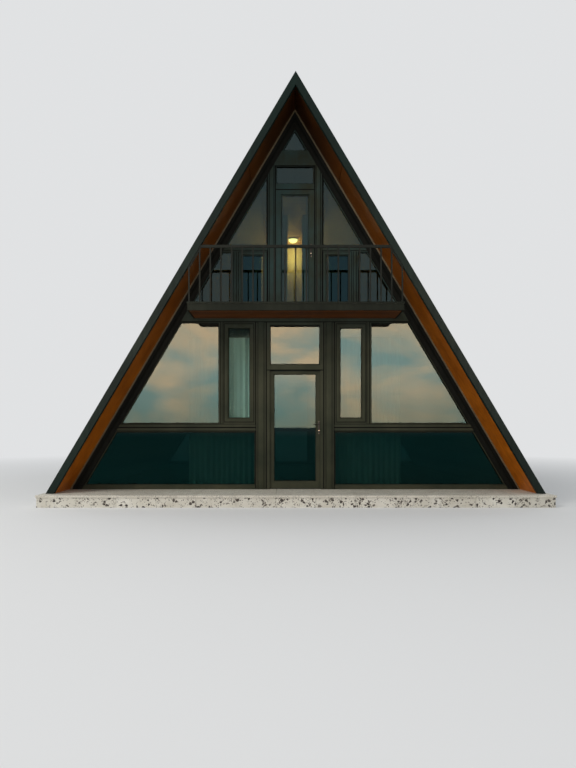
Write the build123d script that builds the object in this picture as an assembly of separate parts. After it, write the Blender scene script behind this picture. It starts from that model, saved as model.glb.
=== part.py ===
from build123d import *
import math
import os

# An A-frame cabin of two storeys under one steep metal roof, with a glazed front gable and a balcony.
# Lengths are in millimetres. X runs to the right seen from the front, Y to the rear and Z up.
# Heights are measured from the ground floor, and save() lifts each piece by the plinth's height.

# Plinth
PLINTH_HEIGHT = 210
PLINTH_APRON = 240
PLINTH_SIDE = 60
PLINTH_SLAB = 40
PLINTH_NOSING = 14
PLINTH_NOSING_ROUND = 9
PLINTH_FACING = 30

# Roof, whose layers are measured square to the slope, inwards from its outermost plane
ROOF_HALF_WIDTH = 4390
ROOF_RISE = 7420
ROOF_LENGTH = 9600
ROOF_OVERHANG = 780
RIB_PITCH = 200
RIB_HEIGHT = 25
RIB_FOOT = 62
RIB_CREST = 26
SHEET_THICKNESS = 3
ROOF_DECK_DEPTH = 102
SOFFIT_THICKNESS = 18
LINING_THICKNESS = 209
RIDGE_CAP_REACH = 130
VERGE_WIDTH = 120
VERGE_RETURN = 75
SOFFIT_JOINT_HEIGHT = 5800
SOFFIT_JOINT_GAP = 3
TRIM_WIDTH = 25
TRIM_THICKNESS = 3
TRIM_MITRE_GAP = 1

# Frames of both gables
FRAME_DEPTH = 100
POST_DEPTH = 140
GLASS_THICKNESS = 24
GLASS_SETBACK = 38

# Ground storey
GROUND_POST_INNER = 540
GROUND_POST_WIDTH = 205
BOTTOM_RAIL_HEIGHT = 75
TRANSOM_HEIGHT = 1094
TRANSOM_WIDTH = 142
GROUND_MULLION_INNER = 1335
GROUND_MULLION_WIDTH = 95
SASH_POST_SIDE = 98
SASH_MULLION_SIDE = 64
SASH_RAIL = 100
STOREY_HEIGHT = 3160
UPPER_FLOOR_THICKNESS = 185

# Front door
DOOR_JAMB = 35
DOOR_GAP = 8
DOOR_THICKNESS = 65
DOOR_STILE = 88
DOOR_FOOT_GAP = 10
DOOR_TOP = 2236
DOOR_TOP_RAIL = 46
DOOR_BOTTOM_RAIL = 130
DOOR_STOP_COVER = 18
DOOR_BAR_WIDTH = 107
FANLIGHT_RAIL = 40
FANLIGHT_SIDE = 25
HINGE_RADIUS = 7
HINGE_LENGTH = 110
HINGE_FLAP = 32
HINGE_FLAP_THICKNESS = 3
HINGE_HEIGHTS = (240, 1120, 2000)
HINGE_SIDE_GAP = 9
HINGE_RUNNING_GAP = 2
HINGE_KNUCKLE = 50

# Door handles
HANDLE_HEIGHT = 1230
HANDLE_PLATE_WIDTH = 34
HANDLE_PLATE_HEIGHT = 250
HANDLE_PLATE_THICKNESS = 8
HANDLE_PLATE_DROP = 60
HANDLE_LEVER = 120
HANDLE_ROD = 18
HANDLE_REACH = 42
KEYHOLE_RADIUS = 6
KEYHOLE_DROP = 120

# Upper storey, with heights from its own floor or down from the ridge
UPPER_POST_INNER = 362
UPPER_POST_WIDTH = 158
UPPER_SILL = 60
UPPER_TRANSOM_RISE = 1145
UPPER_TRANSOM_WIDTH = 100
UPPER_MULLION_WIDTH = 105
UPPER_PANE_HEAD = 187
UPPER_SASH_FRAME = 58
BALCONY_DOOR_JAMB = 24
BALCONY_DOOR_STILE = 70
BALCONY_DOOR_TOP_RAIL = 75
BALCONY_DOOR_BOTTOM_RAIL = 110
BALCONY_BAR_WIDTH = 120
UPPER_FANLIGHT_HEIGHT = 350
UPPER_HEADER_LAP = 78
PEAK_PANE_HEIGHT = 409
CEILING_THICKNESS = 30
CEILING_ABOVE_DOOR = 30
PARTITION_PLACE = 3400
PARTITION_THICKNESS = 100

# Balcony
BALCONY_HALF_WIDTH = 1900
BALCONY_RISE = 60
BALCONY_FASCIA_THICKNESS = 15
BALCONY_DRIP = 8
BALCONY_SOFFIT_RECESS = 8
BALCONY_SOFFIT_THICKNESS = 12
BALCONY_DECK_THICKNESS = 25
BALCONY_DECK_NOSING = 10

# Railing
RAIL_TOP = 1000
RAIL_HEIGHT = 48
RAIL_WIDTH = 34
RAIL_SETBACK = 6
RAIL_END_BAR = 30
BALUSTER = 24
BALUSTER_COUNT = 21
BALUSTER_INSET = 25
SEAT_GAP = 0.3

# Curtains and lamp
CURTAIN_RAIL_RADIUS = 12
CURTAIN_RAIL_DROP = 260
CURTAIN_HANGER = 12
CURTAIN_HANGER_INSET = 90
CURTAIN_SETBACK = 70
CURTAIN_FOOT = 20
CURTAIN_CLOTH = 6
CURTAIN_WAVE = 26
CURTAIN_PLEAT = 105
CURTAIN_STEPS = 6
CURTAIN_START = 770
CURTAIN_SIDE_GAP = 60
UPPER_CURTAIN_START = 140
UPPER_CURTAIN_PLEATS = 3
UPPER_CURTAIN_DROP = 430
LAMP_GAP = 520
LAMP_BASE_RADIUS = 130
LAMP_BASE_HEIGHT = 24
LAMP_RADIUS = 105
LAMP_BANDS = 3

SLOPE = math.atan2(ROOF_RISE, ROOF_HALF_WIDTH)
VERGE = -ROOF_LENGTH / 2
WALL = VERGE + ROOF_OVERHANG
WALL_BACK = WALL + FRAME_DEPTH
ROOF_SHEET_DEPTH = SHEET_THICKNESS + RIB_HEIGHT
SHEET_UNDER = ROOF_SHEET_DEPTH + SHEET_THICKNESS
SOFFIT_FACE = ROOF_DECK_DEPTH + SOFFIT_THICKNESS
LINING_FACE = ROOF_DECK_DEPTH + LINING_THICKNESS
GLASS_FRONT = WALL + GLASS_SETBACK
GLASS_BACK = GLASS_FRONT + GLASS_THICKNESS
GROUND_POST_OUTER = GROUND_POST_INNER + GROUND_POST_WIDTH
GROUND_MULLION_OUTER = GROUND_MULLION_INNER + GROUND_MULLION_WIDTH
UPPER_POST_OUTER = UPPER_POST_INNER + UPPER_POST_WIDTH
TRANSOM_TOP = TRANSOM_HEIGHT + TRANSOM_WIDTH
UPPER_FLOOR_TOP = STOREY_HEIGHT + UPPER_FLOOR_THICKNESS
UPPER_SILL_TOP = UPPER_FLOOR_TOP + UPPER_SILL
UPPER_TRANSOM_HEIGHT = UPPER_FLOOR_TOP + UPPER_TRANSOM_RISE
UPPER_TRANSOM_TOP = UPPER_TRANSOM_HEIGHT + UPPER_TRANSOM_WIDTH
BALCONY_UNDERSIDE = STOREY_HEIGHT + BALCONY_RISE


def rake(height, depth):
    """Half-width at a height, of the plane that lies this deep under the roof's outermost plane."""
    return (peak(depth) - height) / math.tan(SLOPE)


def peak(depth):
    """Height at which that plane meets its twin."""
    return ROOF_RISE - depth / math.cos(SLOPE)


def rake_height(x, depth):
    """Height of that plane above a distance from the middle of the house."""
    return peak(depth) - x * math.tan(SLOPE)


def block(x0, x1, y0, y1, z0, z1):
    """Box between two planes on each axis."""
    return Pos((x0 + x1) / 2, (y0 + y1) / 2, (z0 + z1) / 2) * Box(x1 - x0, y1 - y0, z1 - z0)


def plate(outline, y0, y1):
    """Upright plate whose outline is given in X and Z."""
    wire = Polyline(*[(x, y0, z) for x, z in outline], close=True)
    return extrude(make_face(wire), amount=y1 - y0, dir=(0, 1, 0))


def leg(shallow, deep, y0, y1, foot=0, head=None):
    """Right-hand layer of the roof between two depths, up to its mitre at the ridge or to a joint."""
    if head is None:
        top = [(0, peak(shallow)), (0, peak(deep))]
    else:
        top = [(rake(head, shallow), head), (rake(head, deep), head)]
    return plate([(rake(foot, shallow), foot), *top, (rake(foot, deep), foot)], y0, y1)


def bay(inner, bottom, top, y0, y1):
    """Right-hand panel from an upright line out to the raked frame."""
    low_corner = (rake(bottom, LINING_FACE), bottom)
    high_corner = (rake(top, LINING_FACE), top)
    return plate([(inner, bottom), low_corner, high_corner, (inner, top)], y0, y1)


def span(bottom, top, depth, y0, y1):
    """Panel right across the house between two heights, up to the planes under the roof."""
    low_x = rake(bottom, depth)
    high_x = rake(top, depth)
    return plate([(-low_x, bottom), (low_x, bottom), (high_x, top), (-high_x, top)], y0, y1)


def opening_frame(x0, x1, z0, z1, left, right, bottom, top, y0, y1):
    """Rectangular frame with its own width on each side."""
    hole = block(x0 + left, x1 - right, y0, y1, z0 + bottom, z1 - top)
    return block(x0, x1, y0, y1, z0, z1) - hole


def left_of(shape):
    """The shape's twin on the left-hand side."""
    return mirror(shape, about=Plane.YZ)


def rear_of(shape):
    """The shape's twin on the rear gable."""
    return mirror(shape, about=Plane.XZ)


def both_sides(*shapes):
    """Each shape with its left-hand twin."""
    return [half for shape in shapes for half in (shape, left_of(shape))]


def both_gables(shape):
    """The shape with its twin on the rear gable."""
    return [shape, rear_of(shape)]


def save(name, *shapes):
    """Write the solids of one node, lifted onto the plinth."""
    lift = Location((0, 0, PLINTH_HEIGHT))
    solids = [solid.moved(lift) for shape in shapes for solid in shape.solids()]
    export_step(solids[0] if len(solids) == 1 else Compound(solids), f"parts/{name}.step")


os.makedirs("parts", exist_ok=True)

# The plinth: a concrete core, stone facings round it and a stone slab with a rounded nosing on top.
plinth_x = ROOF_HALF_WIDTH + PLINTH_SIDE
plinth_y = -VERGE + PLINTH_APRON
core_x = plinth_x - PLINTH_FACING
core_y = plinth_y - PLINTH_FACING
plinth_core = block(-core_x, core_x, -core_y, core_y, -PLINTH_HEIGHT, -PLINTH_SLAB)
facing = block(-plinth_x, plinth_x, -plinth_y, plinth_y, -PLINTH_HEIGHT, -PLINTH_SLAB) - plinth_core
room_x = rake(0, LINING_FACE)
ground_floor = block(-room_x, room_x, WALL_BACK, -WALL_BACK, -PLINTH_SLAB, 0)
nosing_x = plinth_x + PLINTH_NOSING
nosing_y = plinth_y + PLINTH_NOSING
plinth_top = block(-nosing_x, nosing_x, -nosing_y, nosing_y, -PLINTH_SLAB, 0)
plinth_top = fillet(plinth_top.edges().group_by(Axis.Z)[-1], PLINTH_NOSING_ROUND)
plinth_top -= ground_floor
save("plinth_core", plinth_core)
save("plinth_facing", facing)
save("plinth_top", plinth_top)
save("ground_floor", ground_floor)

# The upper floor spans between the two linings and the two gable headers.
upper_floor = span(STOREY_HEIGHT, UPPER_FLOOR_TOP, LINING_FACE, WALL_BACK, -WALL_BACK)
save("upper_floor", upper_floor)

# The roof: boarded decks that lean together, profiled metal sheets, and a lining inside.
deck = leg(SHEET_UNDER, ROOF_DECK_DEPTH, VERGE + SHEET_THICKNESS, -VERGE - SHEET_THICKNESS)
save("roof_deck_right", deck)
save("roof_deck_left", left_of(deck))

# The sheets are profiled: ribs of even pitch run down the slope, folded from metal of one thickness.
flashing_back = VERGE + VERGE_WIDTH
sheet_end = -VERGE - SHEET_THICKNESS
rib_count = int((-2 * flashing_back - RIB_FOOT) // RIB_PITCH)
crests = [(-sheet_end, 0)]
for number in range(rib_count):
    rib_y = (number - (rib_count - 1) / 2) * RIB_PITCH
    crests += [
        (rib_y - RIB_FOOT / 2, 0),
        (rib_y - RIB_CREST / 2, RIB_HEIGHT),
        (rib_y + RIB_CREST / 2, RIB_HEIGHT),
        (rib_y + RIB_FOOT / 2, 0),
    ]
crests.append((sheet_end, 0))
underside = [(y, rise - SHEET_THICKNESS) for y, rise in reversed(crests)]
down_slope = Vector(math.cos(SLOPE), 0, -math.sin(SLOPE))
out_of_slope = Vector(math.sin(SLOPE), 0, math.cos(SLOPE))
ridge_start = Vector(0, 0, peak(ROOF_SHEET_DEPTH)) - down_slope * ROOF_SHEET_DEPTH
section = [ridge_start + Vector(0, y, 0) + out_of_slope * rise for y, rise in crests + underside]
slope_run = math.hypot(ROOF_RISE, ROOF_HALF_WIDTH)
profile = make_face(Polyline(*section, close=True))
sheet = extrude(profile, amount=slope_run + ROOF_SHEET_DEPTH, dir=down_slope)
sheet &= block(0, ROOF_HALF_WIDTH, VERGE, -VERGE, 0, ROOF_RISE)
save("roof_sheet_right", sheet)
save("roof_sheet_left", left_of(sheet))

lining = leg(ROOF_DECK_DEPTH, LINING_FACE, WALL_BACK, -WALL_BACK)
save("roof_lining_right", lining)
save("roof_lining_left", left_of(lining))

# The ridge cap is folded over both slopes and lies on the ribs.
cap_edge = RIDGE_CAP_REACH * math.cos(SLOPE)
cap_fall = RIDGE_CAP_REACH * math.sin(SLOPE)
ridge_cap = plate(
    [
        (0, peak(0)),
        (cap_edge, peak(0) - cap_fall),
        (cap_edge, peak(SHEET_THICKNESS) - cap_fall),
        (0, peak(SHEET_THICKNESS)),
        (-cap_edge, peak(SHEET_THICKNESS) - cap_fall),
        (-cap_edge, peak(0) - cap_fall),
    ],
    flashing_back,
    -flashing_back,
)
save("ridge_cap", ridge_cap)

# The verge flashing is one folded sheet: a fascia, a lap over the roof that turns down behind, and a
# return under the edge. Both halves are mitred at the ridge and stand on the plinth.
fascia = leg(0, VERGE_WIDTH, VERGE, VERGE + SHEET_THICKNESS)
lap = leg(0, SHEET_THICKNESS, VERGE, flashing_back)
upstand = leg(0, ROOF_SHEET_DEPTH, flashing_back - SHEET_THICKNESS, flashing_back)
under_edge = leg(VERGE_WIDTH - SHEET_THICKNESS, VERGE_WIDTH, VERGE, VERGE + VERGE_RETURN)
flashing = fascia + lap + upstand + under_edge
save("verge_flashings_right", *both_gables(flashing))
save("verge_flashings_left", *both_gables(left_of(flashing)))

# The overhang is lined with boards below, in two lengths with a butt joint.
soffit_front = VERGE + VERGE_RETURN
joint_low = SOFFIT_JOINT_HEIGHT - SOFFIT_JOINT_GAP / 2
joint_high = SOFFIT_JOINT_HEIGHT + SOFFIT_JOINT_GAP / 2
soffit = [
    leg(ROOF_DECK_DEPTH, SOFFIT_FACE, soffit_front, WALL, head=joint_low),
    leg(ROOF_DECK_DEPTH, SOFFIT_FACE, soffit_front, WALL, foot=joint_high),
]
save("soffits_right", *soffit, *[rear_of(board) for board in soffit])
save("soffits_left", *[left_of(board) for board in soffit], *[left_of(rear_of(board)) for board in soffit])

# A thin metal trim covers the joint between the soffit and the glazed wall.
trim = leg(SOFFIT_FACE, SOFFIT_FACE + TRIM_WIDTH, WALL - TRIM_THICKNESS, WALL)
mitre_cut = block(-TRIM_MITRE_GAP, TRIM_MITRE_GAP, VERGE, 0, 0, ROOF_RISE)
trim -= mitre_cut
save("soffit_trims", *both_sides(*both_gables(trim)))

# The raked frames of the gables are mitred at the ridge and stand on the plinth.
rake_frame = leg(ROOF_DECK_DEPTH, LINING_FACE, WALL, WALL_BACK)
save("rake_frames_right", *both_gables(rake_frame))
save("rake_frames_left", *both_gables(left_of(rake_frame)))

# Front wall, ground storey: two posts, rails out to the raked frames, mullions and opening sashes.
ground_post = block(GROUND_POST_INNER, GROUND_POST_OUTER, WALL, WALL + POST_DEPTH, 0, STOREY_HEIGHT)
save("front_ground_posts", *both_sides(ground_post))
bottom_rail = bay(GROUND_POST_OUTER, 0, BOTTOM_RAIL_HEIGHT, WALL, WALL_BACK)
transom = bay(GROUND_POST_OUTER, TRANSOM_HEIGHT, TRANSOM_TOP, WALL, WALL_BACK)
save("front_ground_rails", *both_sides(bottom_rail, transom))
ground_mullion = block(
    GROUND_MULLION_INNER, GROUND_MULLION_OUTER, WALL, WALL_BACK, TRANSOM_TOP, STOREY_HEIGHT
)
upper_mullion_outer = rake(UPPER_TRANSOM_HEIGHT, LINING_FACE) - UPPER_PANE_HEAD
upper_mullion_inner = upper_mullion_outer - UPPER_MULLION_WIDTH
upper_mullion = block(
    upper_mullion_inner, upper_mullion_outer, WALL, WALL_BACK, UPPER_SILL_TOP, UPPER_TRANSOM_HEIGHT
)
save("front_mullions", *both_sides(ground_mullion, upper_mullion))
save("front_header", span(STOREY_HEIGHT, UPPER_FLOOR_TOP, LINING_FACE, WALL, WALL_BACK))
ground_sash = opening_frame(
    GROUND_POST_OUTER, GROUND_MULLION_INNER, TRANSOM_TOP, STOREY_HEIGHT,
    SASH_POST_SIDE, SASH_MULLION_SIDE, SASH_RAIL, SASH_RAIL, WALL, WALL_BACK,
)
upper_sash = opening_frame(
    UPPER_POST_OUTER, upper_mullion_inner, UPPER_SILL_TOP, UPPER_TRANSOM_HEIGHT,
    UPPER_SASH_FRAME, UPPER_SASH_FRAME, UPPER_SASH_FRAME, UPPER_SASH_FRAME, WALL, WALL_BACK,
)
save("front_sashes", *both_sides(ground_sash, upper_sash))

# Frame of the front door: jambs with stops on the outside, and a fanlight on its bar above.
jamb_face = GROUND_POST_INNER - DOOR_JAMB
leaf_half = jamb_face - DOOR_GAP
leaf_front = WALL_BACK - DOOR_THICKNESS
stop_back = leaf_front - DOOR_GAP
bar_bottom = DOOR_TOP + DOOR_GAP
bar_top = bar_bottom + DOOR_BAR_WIDTH
jamb = block(jamb_face, GROUND_POST_INNER, WALL, WALL_BACK, 0, bar_bottom)
save("door_jambs", *both_sides(jamb))
stop = block(leaf_half - DOOR_STOP_COVER, jamb_face, WALL, stop_back, 0, bar_bottom)
save("door_stops", *both_sides(stop))
hinge_x = -leaf_half - HINGE_SIDE_GAP
hinge_y = WALL_BACK + HINGE_RADIUS + HINGE_RUNNING_GAP
fanlight_frame = opening_frame(
    -GROUND_POST_INNER, GROUND_POST_INNER, bar_bottom, STOREY_HEIGHT,
    DOOR_JAMB + FANLIGHT_SIDE, DOOR_JAMB + FANLIGHT_SIDE, DOOR_BAR_WIDTH, FANLIGHT_RAIL, WALL, WALL_BACK,
)
save("fanlight_frame", fanlight_frame)

# The front door: a framed glass leaf with its glass, levers and hinges.
leaf = opening_frame(
    -leaf_half, leaf_half, DOOR_FOOT_GAP, DOOR_TOP,
    DOOR_STILE, DOOR_STILE, DOOR_BOTTOM_RAIL, DOOR_TOP_RAIL, leaf_front, WALL_BACK,
)
save("front_door_leaf", leaf)
leaf_glass_front = leaf_front + (DOOR_THICKNESS - GLASS_THICKNESS) / 2
leaf_glass = block(
    -leaf_half + DOOR_STILE, leaf_half - DOOR_STILE,
    leaf_glass_front, leaf_glass_front + GLASS_THICKNESS,
    DOOR_FOOT_GAP + DOOR_BOTTOM_RAIL, DOOR_TOP - DOOR_TOP_RAIL,
)
save("front_door_glass", leaf_glass)


def lever_handle(x, face, outwards, height):
    """Long plate, keyhole and lever that points at the hinges, on the face of a leaf."""
    plate_back = face
    plate_front = face + outwards * HANDLE_PLATE_THICKNESS
    plate_top = height + HANDLE_PLATE_DROP
    back_plate = block(
        x - HANDLE_PLATE_WIDTH / 2, x + HANDLE_PLATE_WIDTH / 2,
        min(plate_back, plate_front), max(plate_back, plate_front),
        plate_top - HANDLE_PLATE_HEIGHT, plate_top,
    )
    back_plate = fillet(back_plate.edges().filter_by(Axis.Y), HANDLE_PLATE_WIDTH / 4)
    keyhole = Pos(x, plate_front, height - KEYHOLE_DROP) * Rot(90, 0, 0) * Cylinder(
        KEYHOLE_RADIUS, HANDLE_PLATE_THICKNESS
    )
    back_plate -= keyhole
    rod_y = face + outwards * HANDLE_REACH
    neck_length = HANDLE_REACH - HANDLE_PLATE_THICKNESS
    neck = Pos(x, (plate_front + rod_y) / 2, height) * Rot(90, 0, 0) * Cylinder(HANDLE_ROD / 2, neck_length)
    lever = Pos(x - HANDLE_LEVER / 2, rod_y, height) * Rot(0, 90, 0) * Cylinder(HANDLE_ROD / 2, HANDLE_LEVER)
    elbow = Pos(x, rod_y, height) * Sphere(HANDLE_ROD / 2)
    return back_plate + neck + elbow + lever


def hinge_flap(x0, x1, height):
    """Plate of a hinge, screwed to the room side of the leaf or the jamb."""
    half = HINGE_LENGTH / 2
    return block(x0, x1, WALL_BACK, WALL_BACK + HINGE_FLAP_THICKNESS, height - half, height + half)


def knuckle(low, high):
    """Barrel of a hinge between two heights."""
    return Pos(hinge_x, hinge_y, (low + high) / 2) * Cylinder(HINGE_RADIUS, high - low)


def leaf_hinge(height):
    """Leaf's half of a hinge: a plate with the middle knuckle."""
    half = HINGE_KNUCKLE / 2
    tongue = block(
        hinge_x, -leaf_half, WALL_BACK, WALL_BACK + HINGE_FLAP_THICKNESS, height - half, height + half
    )
    plate_part = hinge_flap(-leaf_half, -leaf_half + HINGE_FLAP, height)
    return knuckle(height - half, height + half) + tongue + plate_part


def jamb_hinge(height):
    """Jamb's half of a hinge: a plate with the upper and lower knuckles."""
    end = HINGE_LENGTH / 2
    inner = HINGE_KNUCKLE / 2 + HINGE_RUNNING_GAP
    flap_edge = hinge_x - HINGE_SIDE_GAP
    part = hinge_flap(-GROUND_POST_INNER + HINGE_RUNNING_GAP, flap_edge, height)
    for low, high in ((-end, -inner), (inner, end)):
        tongue = block(
            flap_edge, hinge_x + HINGE_RADIUS / 2,
            WALL_BACK + HINGE_RUNNING_GAP, WALL_BACK + HINGE_FLAP_THICKNESS, height + low, height + high,
        )
        part += knuckle(height + low, height + high) + tongue
    return part


handle_x = leaf_half - DOOR_STILE / 2
save(
    "front_door_fittings",
    lever_handle(handle_x, leaf_front, -1, HANDLE_HEIGHT),
    lever_handle(handle_x, WALL_BACK, 1, HANDLE_HEIGHT),
    *[leaf_hinge(height) for height in HINGE_HEIGHTS],
)
save("door_frame_hinges", *[jamb_hinge(height) for height in HINGE_HEIGHTS])

# Glass of the ground storey: low panes, sash panes, wide fixed panes and the fanlight.
low_pane = bay(GROUND_POST_OUTER, BOTTOM_RAIL_HEIGHT, TRANSOM_HEIGHT, GLASS_FRONT, GLASS_BACK)
sash_pane = block(
    GROUND_POST_OUTER + SASH_POST_SIDE, GROUND_MULLION_INNER - SASH_MULLION_SIDE,
    GLASS_FRONT, GLASS_BACK, TRANSOM_TOP + SASH_RAIL, STOREY_HEIGHT - SASH_RAIL,
)
wide_pane = bay(GROUND_MULLION_OUTER, TRANSOM_TOP, STOREY_HEIGHT, GLASS_FRONT, GLASS_BACK)
fanlight_half = jamb_face - FANLIGHT_SIDE
fanlight_pane = block(
    -fanlight_half, fanlight_half, GLASS_FRONT, GLASS_BACK, bar_top, STOREY_HEIGHT - FANLIGHT_RAIL
)
save("front_ground_glass", *both_sides(low_pane, sash_pane, wide_pane), fanlight_pane)

# Front wall, upper storey: posts cut to the rake, sills, transoms, a bar over the door and a header.
lining_peak = peak(LINING_FACE)
header_top = lining_peak - PEAK_PANE_HEIGHT
header_bottom = rake_height(UPPER_POST_INNER, LINING_FACE) - UPPER_HEADER_LAP
header_half = rake(header_top, LINING_FACE)
bar_head = header_bottom - UPPER_FANLIGHT_HEIGHT
balcony_door_top = bar_head - BALCONY_BAR_WIDTH
upper_post = plate(
    [
        (UPPER_POST_INNER, UPPER_FLOOR_TOP),
        (UPPER_POST_OUTER, UPPER_FLOOR_TOP),
        (UPPER_POST_OUTER, rake_height(UPPER_POST_OUTER, LINING_FACE)),
        (UPPER_POST_INNER, rake_height(UPPER_POST_INNER, LINING_FACE)),
    ],
    WALL,
    WALL_BACK,
)
save("front_upper_posts", *both_sides(upper_post))
upper_sill = bay(UPPER_POST_OUTER, UPPER_FLOOR_TOP, UPPER_SILL_TOP, WALL, WALL_BACK)
upper_transom = bay(UPPER_POST_OUTER, UPPER_TRANSOM_HEIGHT, UPPER_TRANSOM_TOP, WALL, WALL_BACK)
balcony_bar = block(-UPPER_POST_INNER, UPPER_POST_INNER, WALL, WALL_BACK, balcony_door_top, bar_head)
upper_header = plate(
    [
        (-UPPER_POST_INNER, header_bottom),
        (UPPER_POST_INNER, header_bottom),
        (UPPER_POST_INNER, rake_height(UPPER_POST_INNER, LINING_FACE)),
        (header_half, header_top),
        (-header_half, header_top),
        (-UPPER_POST_INNER, rake_height(UPPER_POST_INNER, LINING_FACE)),
    ],
    WALL,
    WALL_BACK,
)
save("front_upper_rails", *both_sides(upper_sill, upper_transom), balcony_bar, upper_header)

# The balcony door closes the middle of the upper wall and is built shut.
balcony_leaf_half = UPPER_POST_INNER - BALCONY_DOOR_JAMB
balcony_leaf = opening_frame(
    -UPPER_POST_INNER, UPPER_POST_INNER, UPPER_FLOOR_TOP, balcony_door_top,
    BALCONY_DOOR_JAMB + BALCONY_DOOR_STILE, BALCONY_DOOR_JAMB + BALCONY_DOOR_STILE,
    BALCONY_DOOR_BOTTOM_RAIL, BALCONY_DOOR_TOP_RAIL, WALL, WALL_BACK,
)
save("balcony_door_leaf", balcony_leaf)
balcony_handle_x = balcony_leaf_half - BALCONY_DOOR_STILE / 2
balcony_handle = lever_handle(balcony_handle_x, WALL, -1, UPPER_FLOOR_TOP + HANDLE_HEIGHT)
save("balcony_door_handle", balcony_handle)

# Glass of the upper storey: sash panes, outer panes, triangles, balcony door, fanlight and peak.
upper_sash_pane = block(
    UPPER_POST_OUTER + UPPER_SASH_FRAME, upper_mullion_inner - UPPER_SASH_FRAME,
    GLASS_FRONT, GLASS_BACK, UPPER_SILL_TOP + UPPER_SASH_FRAME, UPPER_TRANSOM_HEIGHT - UPPER_SASH_FRAME,
)
outer_pane = bay(upper_mullion_outer, UPPER_SILL_TOP, UPPER_TRANSOM_HEIGHT, GLASS_FRONT, GLASS_BACK)
triangle_pane = plate(
    [
        (UPPER_POST_OUTER, UPPER_TRANSOM_TOP),
        (rake(UPPER_TRANSOM_TOP, LINING_FACE), UPPER_TRANSOM_TOP),
        (UPPER_POST_OUTER, rake_height(UPPER_POST_OUTER, LINING_FACE)),
    ],
    GLASS_FRONT,
    GLASS_BACK,
)
balcony_glass_half = balcony_leaf_half - BALCONY_DOOR_STILE
balcony_pane = block(
    -balcony_glass_half, balcony_glass_half, GLASS_FRONT, GLASS_BACK,
    UPPER_FLOOR_TOP + BALCONY_DOOR_BOTTOM_RAIL, balcony_door_top - BALCONY_DOOR_TOP_RAIL,
)
upper_fanlight = block(
    -UPPER_POST_INNER, UPPER_POST_INNER, GLASS_FRONT, GLASS_BACK, bar_head, header_bottom
)
peak_pane = plate(
    [(-header_half, header_top), (header_half, header_top), (0, lining_peak)],
    GLASS_FRONT,
    GLASS_BACK,
)
save(
    "front_upper_glass",
    *both_sides(upper_sash_pane, outer_pane, triangle_pane), balcony_pane, upper_fanlight, peak_pane,
)

# The balcony hangs on the header: a slab in a metal edge with a drip lip, boards below and a deck on top.
slab_half = BALCONY_HALF_WIDTH - BALCONY_FASCIA_THICKNESS
slab_front = VERGE + BALCONY_FASCIA_THICKNESS
soffit_top = BALCONY_UNDERSIDE + BALCONY_SOFFIT_RECESS + BALCONY_SOFFIT_THICKNESS
balcony_slab = block(-slab_half, slab_half, slab_front, WALL, soffit_top, UPPER_FLOOR_TOP)
save("balcony_slab", balcony_slab)
balcony_soffit = block(
    -slab_half, slab_half, slab_front, WALL, soffit_top - BALCONY_SOFFIT_THICKNESS, soffit_top
)
save("balcony_soffit", balcony_soffit)
edge = block(-BALCONY_HALF_WIDTH, BALCONY_HALF_WIDTH, VERGE, WALL, BALCONY_UNDERSIDE, UPPER_FLOOR_TOP)
lip_half = BALCONY_HALF_WIDTH + BALCONY_DRIP
lip_top = BALCONY_UNDERSIDE + BALCONY_DRIP
lip = block(-lip_half, lip_half, VERGE - BALCONY_DRIP, WALL, BALCONY_UNDERSIDE, lip_top)
balcony_edge = edge + lip - block(-slab_half, slab_half, slab_front, WALL, BALCONY_UNDERSIDE, UPPER_FLOOR_TOP)
save("balcony_fascia", balcony_edge)
deck_half = BALCONY_HALF_WIDTH + BALCONY_DECK_NOSING
deck_top = UPPER_FLOOR_TOP + BALCONY_DECK_THICKNESS
balcony_deck = block(-deck_half, deck_half, VERGE - BALCONY_DECK_NOSING, WALL, UPPER_FLOOR_TOP, deck_top)
save("balcony_deck", balcony_deck)

# The railing fits the slope: a top rail cut to the soffits, raked end bars and upright balusters.
rail_plane = SOFFIT_FACE + SEAT_GAP / math.sin(SLOPE)
rail_z = deck_top + RAIL_TOP
rail_front = VERGE + RAIL_SETBACK
rail_middle = rail_front + RAIL_WIDTH / 2
half_bar = BALUSTER / 2
last_bar = BALCONY_HALF_WIDTH - BALUSTER_INSET
baluster_pitch = 2 * last_bar / (BALUSTER_COUNT - 1)
end_x = last_bar + half_bar
rail_under = rail_z - RAIL_HEIGHT
top_rail = span(rail_under, rail_z, rail_plane, rail_front, rail_front + RAIL_WIDTH)
end_foot = rake_height(end_x, rail_plane)
under_bar = RAIL_END_BAR / math.cos(SLOPE)
end_bar = plate(
    [
        (end_x, end_foot),
        (rake(rail_under, rail_plane), rail_under),
        (rake(rail_under, rail_plane + RAIL_END_BAR), rail_under),
        (end_x, end_foot - under_bar),
    ],
    rail_middle - half_bar,
    rail_middle + half_bar,
)
railing = top_rail + end_bar + left_of(end_bar)
for number in range(BALUSTER_COUNT):
    bar_x = number * baluster_pitch - last_bar
    baluster_top = min(rail_under, rake_height(abs(bar_x) + half_bar, rail_plane))
    railing += block(
        bar_x - half_bar, bar_x + half_bar,
        rail_middle - half_bar, rail_middle + half_bar, deck_top, baluster_top,
    )
save("railing", railing)

# Upstairs a flat boarded ceiling runs just above the balcony door, and a partition closes the front room.
ceiling_under = balcony_door_top + CEILING_ABOVE_DOOR
ceiling_top = ceiling_under + CEILING_THICKNESS
save("upper_ceiling", span(ceiling_under, ceiling_top, LINING_FACE, WALL_BACK, -WALL_BACK))
partition_front = WALL + PARTITION_PLACE
partition_back = partition_front + PARTITION_THICKNESS
save("upper_partition", span(UPPER_FLOOR_TOP, ceiling_under, LINING_FACE, partition_front, partition_back))

# Pleated curtains hang from round rails on hangers: wide ones downstairs, narrow ones by the balcony door.
curtain_y = WALL + POST_DEPTH + CURTAIN_SETBACK


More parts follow.
